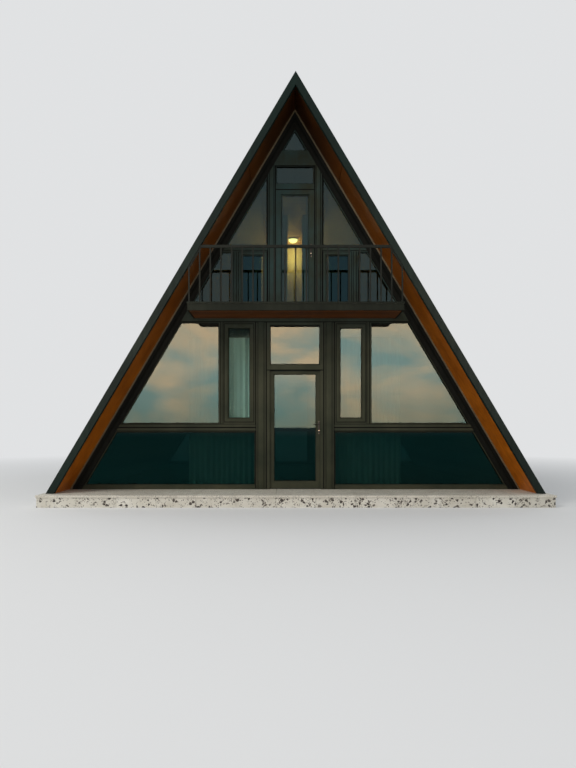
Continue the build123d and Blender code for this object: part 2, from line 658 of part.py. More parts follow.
def curtain_rail(start, end, ceiling_height, drop):
    """Right-hand rail with a hanger near each end."""
    height = ceiling_height - drop
    middle = (start + end) / 2
    part = Pos(middle, curtain_y, height) * Rot(0, 90, 0) * Cylinder(CURTAIN_RAIL_RADIUS, end - start)
    half = CURTAIN_HANGER / 2
    for x in (start + CURTAIN_HANGER_INSET, end - CURTAIN_HANGER_INSET):
        part += block(x - half, x + half, curtain_y - half, curtain_y + half, height, ceiling_height)
    return part


def curtain(start, pleats, foot, head):
    """Right-hand curtain as one pleated sheet."""
    wave = [
        (
            start + step * CURTAIN_PLEAT / CURTAIN_STEPS,
            curtain_y + CURTAIN_WAVE * math.sin(2 * math.pi * step / CURTAIN_STEPS),
        )
        for step in range(pleats * CURTAIN_STEPS + 1)
    ]
    front_edge = [(x, y - CURTAIN_CLOTH / 2, foot) for x, y in wave]
    back_edge = [(x, y + CURTAIN_CLOTH / 2, foot) for x, y in reversed(wave)]
    cloth = make_face(Polyline(*front_edge, *back_edge, close=True))
    return extrude(cloth, amount=head - foot, dir=(0, 0, 1))


rail_end = rake(STOREY_HEIGHT, LINING_FACE) - CURTAIN_SIDE_GAP
upper_rail_end = UPPER_CURTAIN_START + UPPER_CURTAIN_PLEATS * CURTAIN_PLEAT
curtain_pleats = int((rail_end - CURTAIN_START) // CURTAIN_PLEAT)
under_rail = CURTAIN_RAIL_RADIUS + SEAT_GAP
save(
    "curtain_rails",
    *both_sides(curtain_rail(CURTAIN_START, rail_end, STOREY_HEIGHT, CURTAIN_RAIL_DROP)),
    *both_sides(curtain_rail(UPPER_CURTAIN_START, upper_rail_end, ceiling_under, UPPER_CURTAIN_DROP)),
)
save(
    "curtains",
    *both_sides(
        curtain(CURTAIN_START, curtain_pleats, CURTAIN_FOOT, STOREY_HEIGHT - CURTAIN_RAIL_DROP - under_rail)
    ),
    *both_sides(
        curtain(
            UPPER_CURTAIN_START, UPPER_CURTAIN_PLEATS,
            UPPER_FLOOR_TOP + CURTAIN_FOOT, ceiling_under - UPPER_CURTAIN_DROP - under_rail,
        )
    ),
)

# A round lamp with a domed glass, made in a few bands, sits under the ceiling, near the partition.
lamp_y = partition_front - LAMP_GAP
base_height = ceiling_under - LAMP_BASE_HEIGHT / 2
lamp_base = Pos(0, lamp_y, base_height) * Cylinder(LAMP_BASE_RADIUS, LAMP_BASE_HEIGHT)
dome_height = ceiling_under - LAMP_BASE_HEIGHT
angles = [band * math.pi / 2 / LAMP_BANDS for band in range(LAMP_BANDS + 1)]
rim = [(LAMP_RADIUS * math.cos(a), lamp_y, dome_height - LAMP_RADIUS * math.sin(a)) for a in angles]
half_dome = make_face(Polyline((0, lamp_y, dome_height), *rim, close=True))
dome = revolve(half_dome, Axis((0, lamp_y, 0), (0, 0, 1)))
save("ceiling_lamp", lamp_base + dome)

# The rear gable repeats the front in plain form: one framed wall with a wide pane in place of each door.
rear_panes = both_sides(
    low_pane,
    block(GROUND_POST_OUTER, GROUND_MULLION_INNER, GLASS_FRONT, GLASS_BACK, TRANSOM_TOP, STOREY_HEIGHT),
    wide_pane,
    block(
        UPPER_POST_OUTER, upper_mullion_inner, GLASS_FRONT, GLASS_BACK, UPPER_SILL_TOP, UPPER_TRANSOM_HEIGHT
    ),
    outer_pane,
    triangle_pane,
)
for half, bottom, top in (
    (GROUND_POST_INNER, BOTTOM_RAIL_HEIGHT, TRANSOM_HEIGHT),
    (GROUND_POST_INNER, TRANSOM_TOP, STOREY_HEIGHT),
    (UPPER_POST_INNER, UPPER_SILL_TOP, UPPER_TRANSOM_HEIGHT),
    (UPPER_POST_INNER, UPPER_TRANSOM_TOP, header_bottom),
):
    rear_panes.append(block(-half, half, GLASS_FRONT, GLASS_BACK, bottom, top))
rear_panes.append(peak_pane)
rear_wall = plate(
    [(-room_x, 0), (room_x, 0), (0, lining_peak)],
    WALL,
    WALL_BACK,
)
for pane in rear_panes:
    opening = pane.faces().sort_by(Axis.Y)[0].moved(Location((0, -GLASS_SETBACK, 0)))
    rear_wall -= extrude(opening, amount=FRAME_DEPTH, dir=(0, 1, 0))
for post in both_sides(
    block(GROUND_POST_INNER, GROUND_POST_OUTER, WALL_BACK, WALL + POST_DEPTH, 0, STOREY_HEIGHT)
):
    rear_wall += post
save("rear_wall_frame", rear_of(rear_wall))
save("rear_glass", *[rear_of(pane) for pane in rear_panes])
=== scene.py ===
import random
import bmesh
import bpy
from math import atan2, cos, pi, radians, sin, tan, tau
from mathutils import Matrix, Vector


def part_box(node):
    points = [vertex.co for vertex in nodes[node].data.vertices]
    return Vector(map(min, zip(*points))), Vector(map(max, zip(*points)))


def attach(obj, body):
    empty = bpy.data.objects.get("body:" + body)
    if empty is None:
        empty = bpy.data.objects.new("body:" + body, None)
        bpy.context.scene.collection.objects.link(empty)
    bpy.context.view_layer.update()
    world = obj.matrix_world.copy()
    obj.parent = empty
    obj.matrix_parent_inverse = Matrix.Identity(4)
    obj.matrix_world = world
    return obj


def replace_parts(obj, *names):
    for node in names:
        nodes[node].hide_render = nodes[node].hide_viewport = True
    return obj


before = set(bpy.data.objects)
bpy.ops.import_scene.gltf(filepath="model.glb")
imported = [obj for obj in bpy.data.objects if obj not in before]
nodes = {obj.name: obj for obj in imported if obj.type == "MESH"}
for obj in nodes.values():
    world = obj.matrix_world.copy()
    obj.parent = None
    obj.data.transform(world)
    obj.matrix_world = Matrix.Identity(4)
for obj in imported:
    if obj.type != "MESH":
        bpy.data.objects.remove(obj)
scene = bpy.context.scene
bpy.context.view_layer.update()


# ROOF SHEETS
# Profiled steel sheets, folded with ribs that run down the slope and coated dark green-grey.
# Each sheet covers five ribs and laps over the next; hexagon screws with washers hold the pans.
RIDGE_HEIGHT = 7.63
SLOPE = atan2(7.42, 4.39)
PLINTH_TOP = 0.21
RIB_PITCH = 0.2
RIB_COUNT = 46
PAN_DEPTH = 0.028
SCREW_ROWS = 8
SCREW_PITCH = 1.12


def at(x, y, z):
    return Matrix.Translation((x, y, z))


down_the_slope = at(0, 0, RIDGE_HEIGHT) @ Matrix.Rotation(SLOPE, 4, "Y")
other_side = Matrix.Rotation(pi, 4, "Z")


def on_slope(run, y, rise):
    """Place this far down the slope, along the ridge and above the outer plane of the roof."""
    return down_the_slope @ at(run, y, rise)


def slope_run(depth):
    """Length of the slope from ridge line to plinth, this deep under the outer plane."""
    return (RIDGE_HEIGHT - PLINTH_TOP - depth * cos(SLOPE)) / sin(SLOPE)


def spread(count, pitch, middle=0.0):
    """Evenly spaced places about a middle."""
    return [middle + (number - (count - 1) / 2) * pitch for number in range(count)]


def paint(shown):
    """Colour as seen on a screen, 0 to 255, as the linear values that shaders take."""
    return (*(((c / 255 + 0.055) / 1.055) ** 2.4 if c > 10 else c / 3294 for c in shown), 1.0)


def feed(value, socket):
    """Link another node's output to a socket, or set a plain value there."""
    if isinstance(value, bpy.types.NodeSocket):
        socket.id_data.links.new(value, socket)
    else:
        socket.default_value = value


def fill(sockets, **values):
    """Feed several named sockets; an underscore stands for a space."""
    for name, value in values.items():
        feed(value, sockets[name.replace("_", " ")])


def set_all(thing, **settings):
    for name, value in settings.items():
        setattr(thing, name, value)
    return thing


def made(tree, kind, inputs=(), output=0, **settings):
    """One output of a new shader node, whose inputs are given in their order or by number or name."""
    node = set_all(tree.nodes.new("ShaderNode" + kind), **settings)
    for socket, value in inputs.items() if isinstance(inputs, dict) else enumerate(inputs):
        feed(value, node.inputs[socket])
    return node.outputs[output]


# The next helpers add a node to the tree of the socket they are given.
def mixed(factor, first, second, blend="MIX"):
    return made(factor.id_data, "Mix", {0: factor, 6: first, 7: second}, 2, data_type="RGBA",
                blend_type=blend, clamp_factor=True)


def shaded(factor, dark, light):
    """Between two colours as seen on a screen."""
    return mixed(factor, paint(dark), paint(light))


def maths(operation, first, second=0.0, third=0.0):
    return made(first.id_data, "Math", (first, second, third), operation=operation)


def plus(first, second):
    return maths("ADD", first, second)


def times(first, second):
    return maths("MULTIPLY", first, second)


def off_middle(pattern, amount):
    """How far a pattern from 0 to 1 is from its middle, times this amount."""
    return times(maths("SUBTRACT", pattern, 0.5), amount)


def remap(value, low, high, to_low=0.0, to_high=1.0):
    return made(value.id_data, "MapRange", (value, low, high, to_low, to_high))


def stretched(vector, scale):
    return made(vector.id_data, "VectorMath", (vector, scale), operation="MULTIPLY")


def noise(vector, scale, detail=3.0, rough=0.5, twist=0.0):
    return made(vector.id_data, "TexNoise", {"Vector": vector, "Scale": scale, "Detail": detail,
                                             "Roughness": rough, "Distortion": twist})


def axis(vector, letter):
    return made(vector.id_data, "SeparateXYZ", (vector,), letter)


def bump(height, distance):
    return made(height.id_data, "Bump", {"Height": height, "Distance": distance}, "Normal")


def new_group(name, inputs, outputs):
    """Empty node group: its tree, inputs and outputs. None, a colour or a number tells an input's kind."""
    tree = bpy.data.node_groups.new(name, "ShaderNodeTree")
    for label, default in inputs.items():
        kind = "Vector" if default is None else "Color" if isinstance(default, tuple) else "Float"
        socket = tree.interface.new_socket(label, in_out="INPUT", socket_type="NodeSocket" + kind)
        if default is not None:
            socket.default_value = default
    for label in outputs:
        kind = "Color" if label == "Colour" else "Float"
        tree.interface.new_socket(label, in_out="OUTPUT", socket_type="NodeSocket" + kind)
    return tree, tree.nodes.new("NodeGroupInput").outputs, tree.nodes.new("NodeGroupOutput").inputs


def placed(tree, group, **values):
    """The group's outputs in a material, with its inputs set or linked."""
    node = set_all(tree.nodes.new("ShaderNodeGroup"), node_tree=group)
    fill(node.inputs, **values)
    return node.outputs


def new_material(name):
    """A material, its tree, the inputs of its shader and the place on the object."""
    material = bpy.data.materials.new(name)
    material.use_nodes = True
    tree = material.node_tree
    return material, tree, tree.nodes["Principled BSDF"].inputs, made(tree, "TexCoord", output="Object")


# A coat that has stood outdoors: cloudy patches, faint upright rain streaks and a fine speckle.
weathered, source, result = new_group(
    "Weathered coat",
    {"Vector": None, "Colour": (1, 1, 1, 1), "Shade": (0, 0, 0, 1), "Patch scale": 1.2, "Streaks": 0.5,
     "Gloss": 0.4},
    ("Colour", "Roughness", "Height"),
)
patches = noise(source["Vector"], source["Patch scale"], 5.0, 0.6)
streaks = noise(stretched(source["Vector"], (9, 9, 0.7)), 1.6, 4.0, 0.6)
speckle = noise(source["Vector"], 320.0, 1.0)
cloud = plus(patches, off_middle(streaks, source["Streaks"]))
toned = mixed(remap(cloud, 0.32, 0.68), source["Shade"], source["Colour"])
speckled = mixed(remap(speckle, 0.45, 0.75, 0.0, 0.16), toned, (1, 1, 1, 1), "SOFT_LIGHT")
fill(result, Colour=speckled, Height=speckle,
     Roughness=plus(source["Gloss"], remap(cloud, 0.3, 0.7, 0.09, -0.06)))

# Where corners are rubbed: compares the rounded normal with the flat one, broken up by noise.
edge_wear, source, result = new_group("Edge wear", {"Vector": None, "Reach": 0.004, "Amount": 0.5}, ("Mask",))
round_normal = made(edge_wear, "Bevel", {"Radius": source["Reach"]}, samples=4)
flat_normal = made(edge_wear, "NewGeometry", output="Normal")
likeness = made(edge_wear, "VectorMath", (round_normal, flat_normal), "Value", operation="DOT_PRODUCT")
broken = remap(noise(source["Vector"], 24.0, 5.0, 0.65), 0.38, 0.62)
worn = times(remap(likeness, 0.995, 0.86), broken)
fill(result, Mask=times(worn, source["Amount"]))


def coated_metal(name, colour, shade, gloss, rubbed, wear=0.5, lustre=0.2, reach=0.002, upper_colour=None, **drift):
    """Painted or powder-coated metal; if an upper colour is given, the coat turns to it between 2.8 and 4.2 m
    high.
    """
    material, tree, surface, place = new_material(name)
    colour = paint(colour)
    if upper_colour:
        colour = mixed(remap(axis(place, "Z"), 2.8, 4.2), colour, paint(upper_colour))
    coat = placed(tree, weathered, Vector=place, Colour=colour, Shade=paint(shade), Gloss=gloss, **drift)
    mask = placed(tree, edge_wear, Vector=place, Reach=reach, Amount=wear)["Mask"]
    fill(surface, Specular_IOR_Level=lustre, Base_Color=mixed(mask, coat["Colour"], paint(rubbed)),
         Roughness=coat["Roughness"], Normal=bump(coat["Height"], 0.00012))
    return material


def dress(material, *names):
    """The material goes on CAD nodes."""
    for name in names:
        slots = nodes[name].data.materials
        slots.clear()
        slots.append(material)


def rounded(shape, edges, offset, segments):
    bmesh.ops.bevel(shape, geom=edges, offset=offset, segments=segments, profile=0.5, affect="EDGES",
                    material=-1)


def stamp(size, rounding=0.0, segments=1):
    """Block about its own centre, with rounded edges."""
    shape = bmesh.new()
    bmesh.ops.create_cube(shape, size=1.0)
    bmesh.ops.scale(shape, vec=size, verts=shape.verts)
    if rounding:
        rounded(shape, shape.edges[:], rounding, segments)
    return shape


def cone(shape, segments, low, high, depth, lift=0.0):
    """Add a closed round or six-sided shape, from its low to its high radius."""
    bmesh.ops.create_cone(shape, cap_ends=True, segments=segments, radius1=low, radius2=high, depth=depth,
                          matrix=at(0, 0, lift))
    return shape


def lay(pieces, shape, place, tone=0.5):
    """Add a copy of a shape at a place, with a UV in metres, its own tone and its own stretch of pattern."""
    layer = shape.loops.layers.uv.get("UVMap") or shape.loops.layers.uv.new("UVMap")
    tones = shape.verts.layers.float.get("tone") or shape.verts.layers.float.new("tone")
    for vert in shape.verts:
        vert[tones] = tone
    for face in shape.faces:
        upright = abs(face.normal.z) > 0.7
        for loop in face.loops:
            x, y, z = loop.vert.co
            loop[layer].uv = (x + tone * 71, (y if upright else y + z) + tone * 37)
    copy = bpy.data.meshes.new("copy")
    shape.to_mesh(copy)
    copy.transform(place)
    pieces.from_mesh(copy)
    bpy.data.meshes.remove(copy)


def with_twin(pieces, turn=other_side):
    """Add a turned or mirrored copy of everything, as a rule for the other side of the house."""
    twin = bpy.data.meshes.new("twin")
    pieces.to_mesh(twin)
    twin.transform(turn)
    if turn.determinant() < 0:
        twin.flip_normals()
    pieces.from_mesh(twin)
    bpy.data.meshes.remove(twin)
    return pieces


def linked(name, data):
    """Object in the scene that shows this mesh, light or camera."""
    item = bpy.data.objects.new(name, data)
    scene.collection.objects.link(item)
    return item


def mesh_of(name, pieces, material, smooth=True):
    mesh = bpy.data.meshes.new(name)
    pieces.to_mesh(mesh)
    pieces.free()
    mesh.materials.append(material)
    mesh.polygons.foreach_set("use_smooth", [bool(smooth)] * len(mesh.polygons))
    return mesh


def finished(name, pieces, material, body="house", smooth=30):
    """Mesh object from the pieces, at the origin, riding its body; smooth is in degrees."""
    bmesh.ops.recalc_face_normals(pieces, faces=pieces.faces)
    mesh = mesh_of(name, pieces, material, smooth)
    if smooth:
        mesh.set_sharp_from_angle(angle=radians(smooth))
    piece = linked(name, mesh)
    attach(piece, body)
    return piece


sheet_coat = coated_metal("Roof sheet coat", (46, 61, 59), (33, 46, 45), 0.38, (90, 100, 96),
                          Patch_scale=0.7, Streaks=0.8, lustre=0.26)
dress(sheet_coat, "roof_sheet_left", "roof_sheet_right")
ribs = spread(RIB_COUNT, RIB_PITCH)
pans = spread(RIB_COUNT - 1, RIB_PITCH)

# A screw: a sealing washer with a six-sided head. Every second pan has one in each row.
screw = cone(cone(bmesh.new(), 16, 0.0095, 0.0088, 0.002), 6, 0.0058, 0.0052, 0.0055, lift=0.0037)
screws = bmesh.new()
for number, pan_y in enumerate(pans):
    for row in range(number % 2, SCREW_ROWS, 2):
        run = 0.42 + row * SCREW_PITCH + 0.014 * sin(number * 2.3 + row)
        lay(screws, screw, on_slope(run, pan_y, 0.001 - PAN_DEPTH))
screw_coat = coated_metal("Screw coat", (58, 68, 65), (40, 50, 48), 0.34, (130, 134, 130),
                          wear=0.6, reach=0.0008)
finished("roof_screws", with_twin(screws), screw_coat)

# The free edge of each lapped sheet, two millimetres proud beside every fifth rib.
laps = bmesh.new()
lap_edge = stamp((slope_run(PAN_DEPTH) - 0.2, 0.024, 0.0022), 0.0008)
for rib_y in ribs[4:-1:5]:
    lay(laps, lap_edge, on_slope(slope_run(PAN_DEPTH) / 2 + 0.08, rib_y + 0.043, 0.001 - PAN_DEPTH))
finished("roof_sheet_laps", with_twin(laps), sheet_coat)


# RIDGE CAP
# A folded steel cap in two-metre lengths that lap, screwed to the rib crests.
# Foam fillers close the pans under it against wind and snow.
CAP_REACH = 0.13
cap_coat = coated_metal("Ridge and verge coat", (20, 38, 33), (12, 26, 23), 0.44, (74, 84, 80),
                        Patch_scale=0.9, Streaks=0.6, lustre=0.1)
dress(cap_coat, "ridge_cap")
cap_laps = bmesh.new()
cap_lap = stamp((CAP_REACH, 0.06, 0.0016), 0.0006)
for joint in (-3.1, -1.1, 0.9, 2.9):
    lay(cap_laps, cap_lap, on_slope(CAP_REACH / 2, joint, 0.0006))
for rib_y in ribs[::3]:
    lay(cap_laps, screw, on_slope(CAP_REACH - 0.028, rib_y, 0.001))
finished("ridge_cap_laps", with_twin(cap_laps), cap_coat)

foam, _, surface, place = new_material("Closed foam")
cells = noise(place, 420.0, 2.0)
fill(surface, Base_Color=shaded(cells, (26, 27, 28), (52, 53, 54)), Roughness=0.9, Normal=bump(cells, 0.0006))
fillers = bmesh.new()
filler = stamp((0.03, RIB_PITCH - 0.064, 0.0235), 0.003, 2)
for pan_y in pans:
    lay(fillers, filler, on_slope(0.098, pan_y, -0.0157))
finished("ridge_fillers", with_twin(fillers), foam)


# VERGE FLASHINGS
# The dark folded fascia that outlines the gable, in lengths that lap and are riveted.
# Its lower edge is hemmed, so it ends in a small round bead.
VERGE = 4.8
VERGE_WIDTH = 0.12
dress(cap_coat, "verge_flashings_left", "verge_flashings_right")


def flat_ball(segments, squash):
    """Head of a rivet or screw: a ball of 8 mm, squashed along one axis."""
    ball = bmesh.new()
    bmesh.ops.create_uvsphere(ball, u_segments=segments, v_segments=8, radius=0.0042)
    bmesh.ops.scale(ball, vec=squash, verts=ball.verts)
    return ball


verge_bits = bmesh.new()
fascia_lap = stamp((0.045, 0.0016, VERGE_WIDTH - 0.004), 0.0006)
top_lap = stamp((0.045, VERGE_WIDTH - 0.004, 0.0016), 0.0006)
rivet = flat_ball(12, (1, 0.55, 1))
hem_start = VERGE_WIDTH * tan(SLOPE)
hem_middle = (slope_run(VERGE_WIDTH) + hem_start) / 2
hem = stamp((slope_run(VERGE_WIDTH) - hem_start - 0.01, 0.006, 0.008), 0.0028, 3)
for end in (-1, 1):
    for run in (2.15, 4.35, 6.55):
        lay(verge_bits, fascia_lap, on_slope(run, end * (VERGE + 0.0005), -VERGE_WIDTH / 2))
        lay(verge_bits, top_lap, on_slope(run, end * (VERGE - VERGE_WIDTH / 2), 0.0005))
        for depth in (0.03, 0.09):
            lay(verge_bits, rivet, on_slope(run, end * (VERGE + 0.001), -depth))
    lay(verge_bits, hem, on_slope(hem_middle, end * (VERGE + 0.001), -0.116))
finished("verge_laps_and_hems", with_twin(verge_bits), cap_coat)


# SOFFITS OF THE OVERHANG
# Smooth stained wood panels as wide as the overhang, which run with the slope and meet in a mitre at the
# ridge. They come in two lengths with a butt joint, and are screwed to battens at both edges and midway.
WALL = 4.02
SOFFIT_FRONT = 4.725
SOFFIT_WIDTH = SOFFIT_FRONT - WALL
SOFFIT_DEPTH = 0.111
SOFFIT_THICKNESS = 0.018
JOINT_RUN = 1.815
BATTEN_PITCH = 0.695

wood, source, result = new_group(
    "Sawn board",
    {"Vector": None, "Tone": 0.5, "Dark": (0, 0, 0, 1), "Light": (1, 1, 1, 1), "Gloss": 0.4},
    ("Colour", "Roughness", "Height"),
)
rings = noise(stretched(source["Vector"], (0.55, 9.0, 9.0)), 1.4, 3.0, 0.5, 0.6)
ring_shade = maths("PINGPONG", maths("FRACT", times(rings, 9.0)), 0.5)
fibres = noise(stretched(source["Vector"], (3.0, 260.0, 260.0)), 1.0, 5.0, 0.7)
blotch = noise(source["Vector"], 2.2, 3.0)
grain = plus(times(ring_shade, 0.85), times(fibres, 0.55))
grain = plus(grain, off_middle(blotch, 0.7))
grain = plus(grain, off_middle(source["Tone"], 0.55))
fill(result, Colour=mixed(remap(grain, 0.15, 0.95), source["Dark"], source["Light"]),
     Roughness=plus(source["Gloss"], remap(fibres, 0.3, 0.7, -0.06, 0.1)),
     Height=plus(fibres, times(ring_shade, 0.5)))


def board_wood(name, dark, light, gloss, relief=0.0005):
    """Wood of laid boards, whose pattern follows each board's own UV and tone."""
    material, tree, surface, place = new_material(name)
    grown = placed(tree, wood, Vector=made(tree, "UVMap", output="UV", uv_map="UVMap"),
                   Tone=made(tree, "Attribute", output="Fac", attribute_name="tone"),
                   Dark=paint(dark), Light=paint(light), Gloss=gloss)
    # Painted shade: the higher the wood lies, the darker it is, nearly black near the ridge.
    painted_shade_by_height = remap(axis(place, "Z"), 1.0, 6.6, 0.0, 0.95)
    fill(surface, Specular_IOR_Level=0.2, Roughness=grown["Roughness"],
         Base_Color=mixed(painted_shade_by_height, grown["Colour"], (0.04, 0.045, 0.05, 1), "MULTIPLY"),
         Normal=bump(grown["Height"], relief))
    return material


def cut_away(pieces, point, normal):
    """Saw off what lies beyond a plane and close the cut ends."""
    cut = bmesh.ops.bisect_plane(pieces, geom=pieces.verts[:] + pieces.edges[:] + pieces.faces[:], dist=1e-6,
                                 plane_co=point, plane_no=normal, clear_outer=True)
    rim = [item for item in cut["geom_cut"] if isinstance(item, bmesh.types.BMEdge)]
    bmesh.ops.holes_fill(pieces, edges=rim)


def cut_at_ridge_and_plinth(pieces, gap):
    """Mitre at the ridge, with half of the joint's gap, and a level cut on top of the plinth."""
    cut_away(pieces, (gap, 0, 0), (-1, 0, 0))
    cut_away(pieces, (0, 0, PLINTH_TOP), (0, 0, -1))


soffit_wood = board_wood("Stained soffit wood", (134, 66, 8), (214, 122, 24), 0.42, 0.0003)
chance = random.Random(11)
soffit_boards = bmesh.new()
for end in (-1, 1):
    for start, stop in ((0.0, JOINT_RUN), (JOINT_RUN + 0.01, 9.2)):
        board = stamp((stop - start, SOFFIT_WIDTH - 0.005, SOFFIT_THICKNESS), 0.0022)
        place = on_slope((start + stop) / 2, end * (WALL + SOFFIT_WIDTH / 2), -SOFFIT_DEPTH)
        lay(soffit_boards, board, place, chance.random())
cut_at_ridge_and_plinth(soffit_boards, 0.0006)
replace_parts(finished("soffit_boards", with_twin(soffit_boards), soffit_wood, smooth=0),
            "soffits_left", "soffits_right")

# Three rows of small screw heads, one at each batten.
steel_bit = coated_metal("Dull steel", (120, 116, 108), (86, 82, 76), 0.38, (180, 178, 172), wear=0.7)
nails = bmesh.new()
nail = cone(bmesh.new(), 10, 0.0034, 0.003, 0.0012)
for end in (-1, 1):
    for step in range(12):
        for side in (-0.325, 0.0, 0.325):
            nail_y = end * (WALL + SOFFIT_WIDTH / 2 + side)
            lay(nails, nail, on_slope(0.42 + step * BATTEN_PITCH, nail_y, -0.1204))
finished("soffit_nails", with_twin(nails), steel_bit, smooth=0)


# TRIM BEHIND THE SOFFIT
# A thin angle of folded aluminium, coated bronze-grey and clipped to the top of the raked frames.
# It closes the joint between the soffit panels and the glazed wall.
dress(coated_metal("Trim aluminium", (118, 104, 80), (88, 78, 60), 0.4, (170, 160, 140)), "soffit_trims")


# ROOF TIMBER
# Boarded deck under the metal, seen only at its edges, and pine boards on the inside of the slope.
# The lining boards lie level, so their joints follow the height.
boarded, source, result = new_group("Board joints", {"Across": 0.0, "Pitch": 0.12}, ("Tone", "Joint"))
ratio = maths("DIVIDE", source["Across"], source["Pitch"])
tone = made(boarded, "TexWhiteNoise", {"W": maths("FLOOR", ratio)}, "Value", noise_dimensions="1D")
fill(result, Tone=tone, Joint=remap(maths("PINGPONG", ratio, 0.5), 0.0, 0.03, 1.0, 0.0))


def boards_in_place(name, dark, light, gloss, across, along, pitch, joint_colour, relief=0.0022):
    """Wood of boards whose joints are drawn by place: across and along name the object's axes."""
    material, tree, surface, place = new_material(name)
    across_boards = axis(place, across)
    lines = placed(tree, boarded, Across=across_boards, Pitch=pitch)
    shifted = plus(axis(place, along), times(lines["Tone"], 43.0))
    grown = placed(tree, wood, Vector=made(tree, "CombineXYZ", (shifted, across_boards)), Tone=lines["Tone"],
                   Dark=paint(dark), Light=paint(light), Gloss=gloss)
    sunk = maths("SUBTRACT", times(grown["Height"], 0.15), lines["Joint"])
    fill(surface, Base_Color=mixed(lines["Joint"], grown["Colour"], paint(joint_colour)),
         Roughness=grown["Roughness"], Normal=bump(sunk, relief))
    return material


lining_wood = boards_in_place("Lining pine", (104, 90, 72), (140, 126, 104), 0.45, "Z", "Y", 0.12, (34, 28, 22))
dress(lining_wood, "roof_lining_left", "roof_lining_right", "roof_deck_left", "roof_deck_right")


# FRAMES OF THE GABLES
# Umbra-grey powder-coated aluminium: raked frames, posts, rails, mullions, sashes and door frames.
# Snap-on cover strips stand proud of the posts, transoms and mullions over black rubber, drawn wider as painted
# shade.
FRAME_INNER_DEPTH = 0.311
frame_coat = coated_metal("Umbra powder coat", (65, 66, 51), (49, 53, 42), 0.56, (104, 100, 86),
                          Patch_scale=1.6, Streaks=0.25, lustre=0.05, upper_colour=(50, 72, 70))
dress(frame_coat, "front_ground_posts", "front_ground_rails", "front_mullions", "front_header", "front_sashes",
      "door_jambs", "door_stops", "fanlight_frame", "front_door_leaf", "front_upper_posts", "front_upper_rails",
      "balcony_door_leaf", "rear_wall_frame")
# Near-black coat on the raked frames and their cover strips: painted shade under the overhang.
rake_coat_painted_shade = coated_metal("Raked frame coat, painted shade", (19, 23, 20), (12, 16, 14), 0.58, (70, 72, 64),
                         Patch_scale=1.6, Streaks=0.6, lustre=0.06)
dress(rake_coat_painted_shade, "rake_frames_left", "rake_frames_right")
rubber, _, surface, place = new_material("Black gasket rubber")
dust = noise(place, 40.0, 4.0)
fill(surface, Specular_IOR_Level=0.03, Roughness=remap(dust, 0.3, 0.7, 0.55, 0.8),
     Base_Color=shaded(remap(dust, 0.5, 0.8), (9, 10, 10), (30, 30, 28)),
     Normal=bump(noise(place, 600.0, 1.0), 0.0002))


def strip(pieces, x, z, wide, tall, thick, proud, rounding=0.0):
    """Flat strip on the outside of the front gable, whose middle is this proud of the frames."""
    lay(pieces, stamp((wide, thick, tall), rounding, 2), at(x, -WALL - proud, z))


covers = bmesh.new()
rubber_and_shade_strips = bmesh.new()


def cover(x, z, wide, tall, wider=0.0, taller=0.0):
    """Cover strip with the rubber that shows on both sides of it as painted shade."""
    strip(covers, x, z, wide, tall, 0.007, 0.0033, 0.0025)
    strip(rubber_and_shade_strips, x, z, wide + wider, tall + taller, 0.003, 0.0013)


for x, z_low, z_high, wide in (
    (0.6425, 0.21, 3.37, 0.105), (0.441, 3.585, 6.6, 0.074), (1.3825, 1.446, 3.37, 0.036),
    (1.1325, 3.615, 4.70, 0.04),
):
    cover(x, (z_low + z_high) / 2, wide, z_high - z_low, wider=0.02)
for z, tall, x_low in ((1.341, 0.05, 0.745), (1.411, 0.05, 0.745), (4.75, 0.044, 0.52)):
    cover((4.2 + x_low) / 2, z, 4.2 - x_low, tall, taller=0.02)
# Black strips are painted shade in the recesses where posts meet the door frames and sash frames, and over each
# door.
for x, z_low, z_high in ((0.543, 0.21, 3.37), (0.742, 0.21, 3.37), (0.371, 3.585, 6.33), (0.517, 3.585, 6.3)):
    strip(rubber_and_shade_strips, x, (z_low + z_high) / 2, 0.018, z_high - z_low, 0.004, 0.0018)
for z, half in ((2.462, 0.53), (3.372, 4.0), (5.872, 0.36), (6.318, 0.36)):
    strip(rubber_and_shade_strips, half / 2, z, half, 0.016, 0.004, 0.0018)
for pieces in (covers, rubber_and_shade_strips):
    cut_away(pieces, (0, 0, RIDGE_HEIGHT - FRAME_INNER_DEPTH / cos(SLOPE)), (sin(SLOPE), 0, cos(SLOPE)))
rake_covers = bmesh.new()
lay(rake_covers, stamp((9.4, 0.007, 0.062), 0.0025, 2), on_slope(4.6, -WALL - 0.0033, -0.232))
cut_at_ridge_and_plinth(rake_covers, 0.0004)
for name, pieces, coat in (
    ("frame_cover_strips", covers, frame_coat), ("rake_cover_strips", rake_covers, rake_coat_painted_shade),
    ("cover_strip_rubbers_and_shade", rubber_and_shade_strips, rubber),
):
    with_twin(pieces, Matrix.Scale(-1, 4, (1, 0, 0)))
    with_twin(pieces, Matrix.Scale(-1, 4, (0, 1, 0)))
    finished(name, pieces, coat)


# GASKETS AND GLAZING BEADS
# Every pane sits behind a black rubber gasket inside a snapped-in bead of the frames' metal.
# Both follow the outline of the pane, so triangles and raked panes get mitred corners.
BEAD_WIDTH = 0.016
GASKET_WIDTH = 0.006
PANES = ("front_ground_glass", "front_upper_glass", "rear_glass", "front_door_glass")


def outlines(node, facing):
    """A node's faces that look along Y, merged into one polygon for each pane."""
    panes = bmesh.new()
    panes.from_mesh(nodes[node].data)
    bmesh.ops.remove_doubles(panes, verts=panes.verts, dist=1e-5)
    away = [face for face in panes.faces if face.normal.y * facing < 0.9]
    bmesh.ops.delete(panes, geom=away, context="FACES")
    bmesh.ops.dissolve_limit(panes, angle_limit=0.01, verts=panes.verts, edges=panes.edges)
    return panes


def inner_ring(shape, width):
    """Split a ring of this width off the outline of every face."""
    faces = shape.faces[:]
    return bmesh.ops.inset_individual(shape, faces=faces, thickness=width, use_even_offset=True)["faces"]


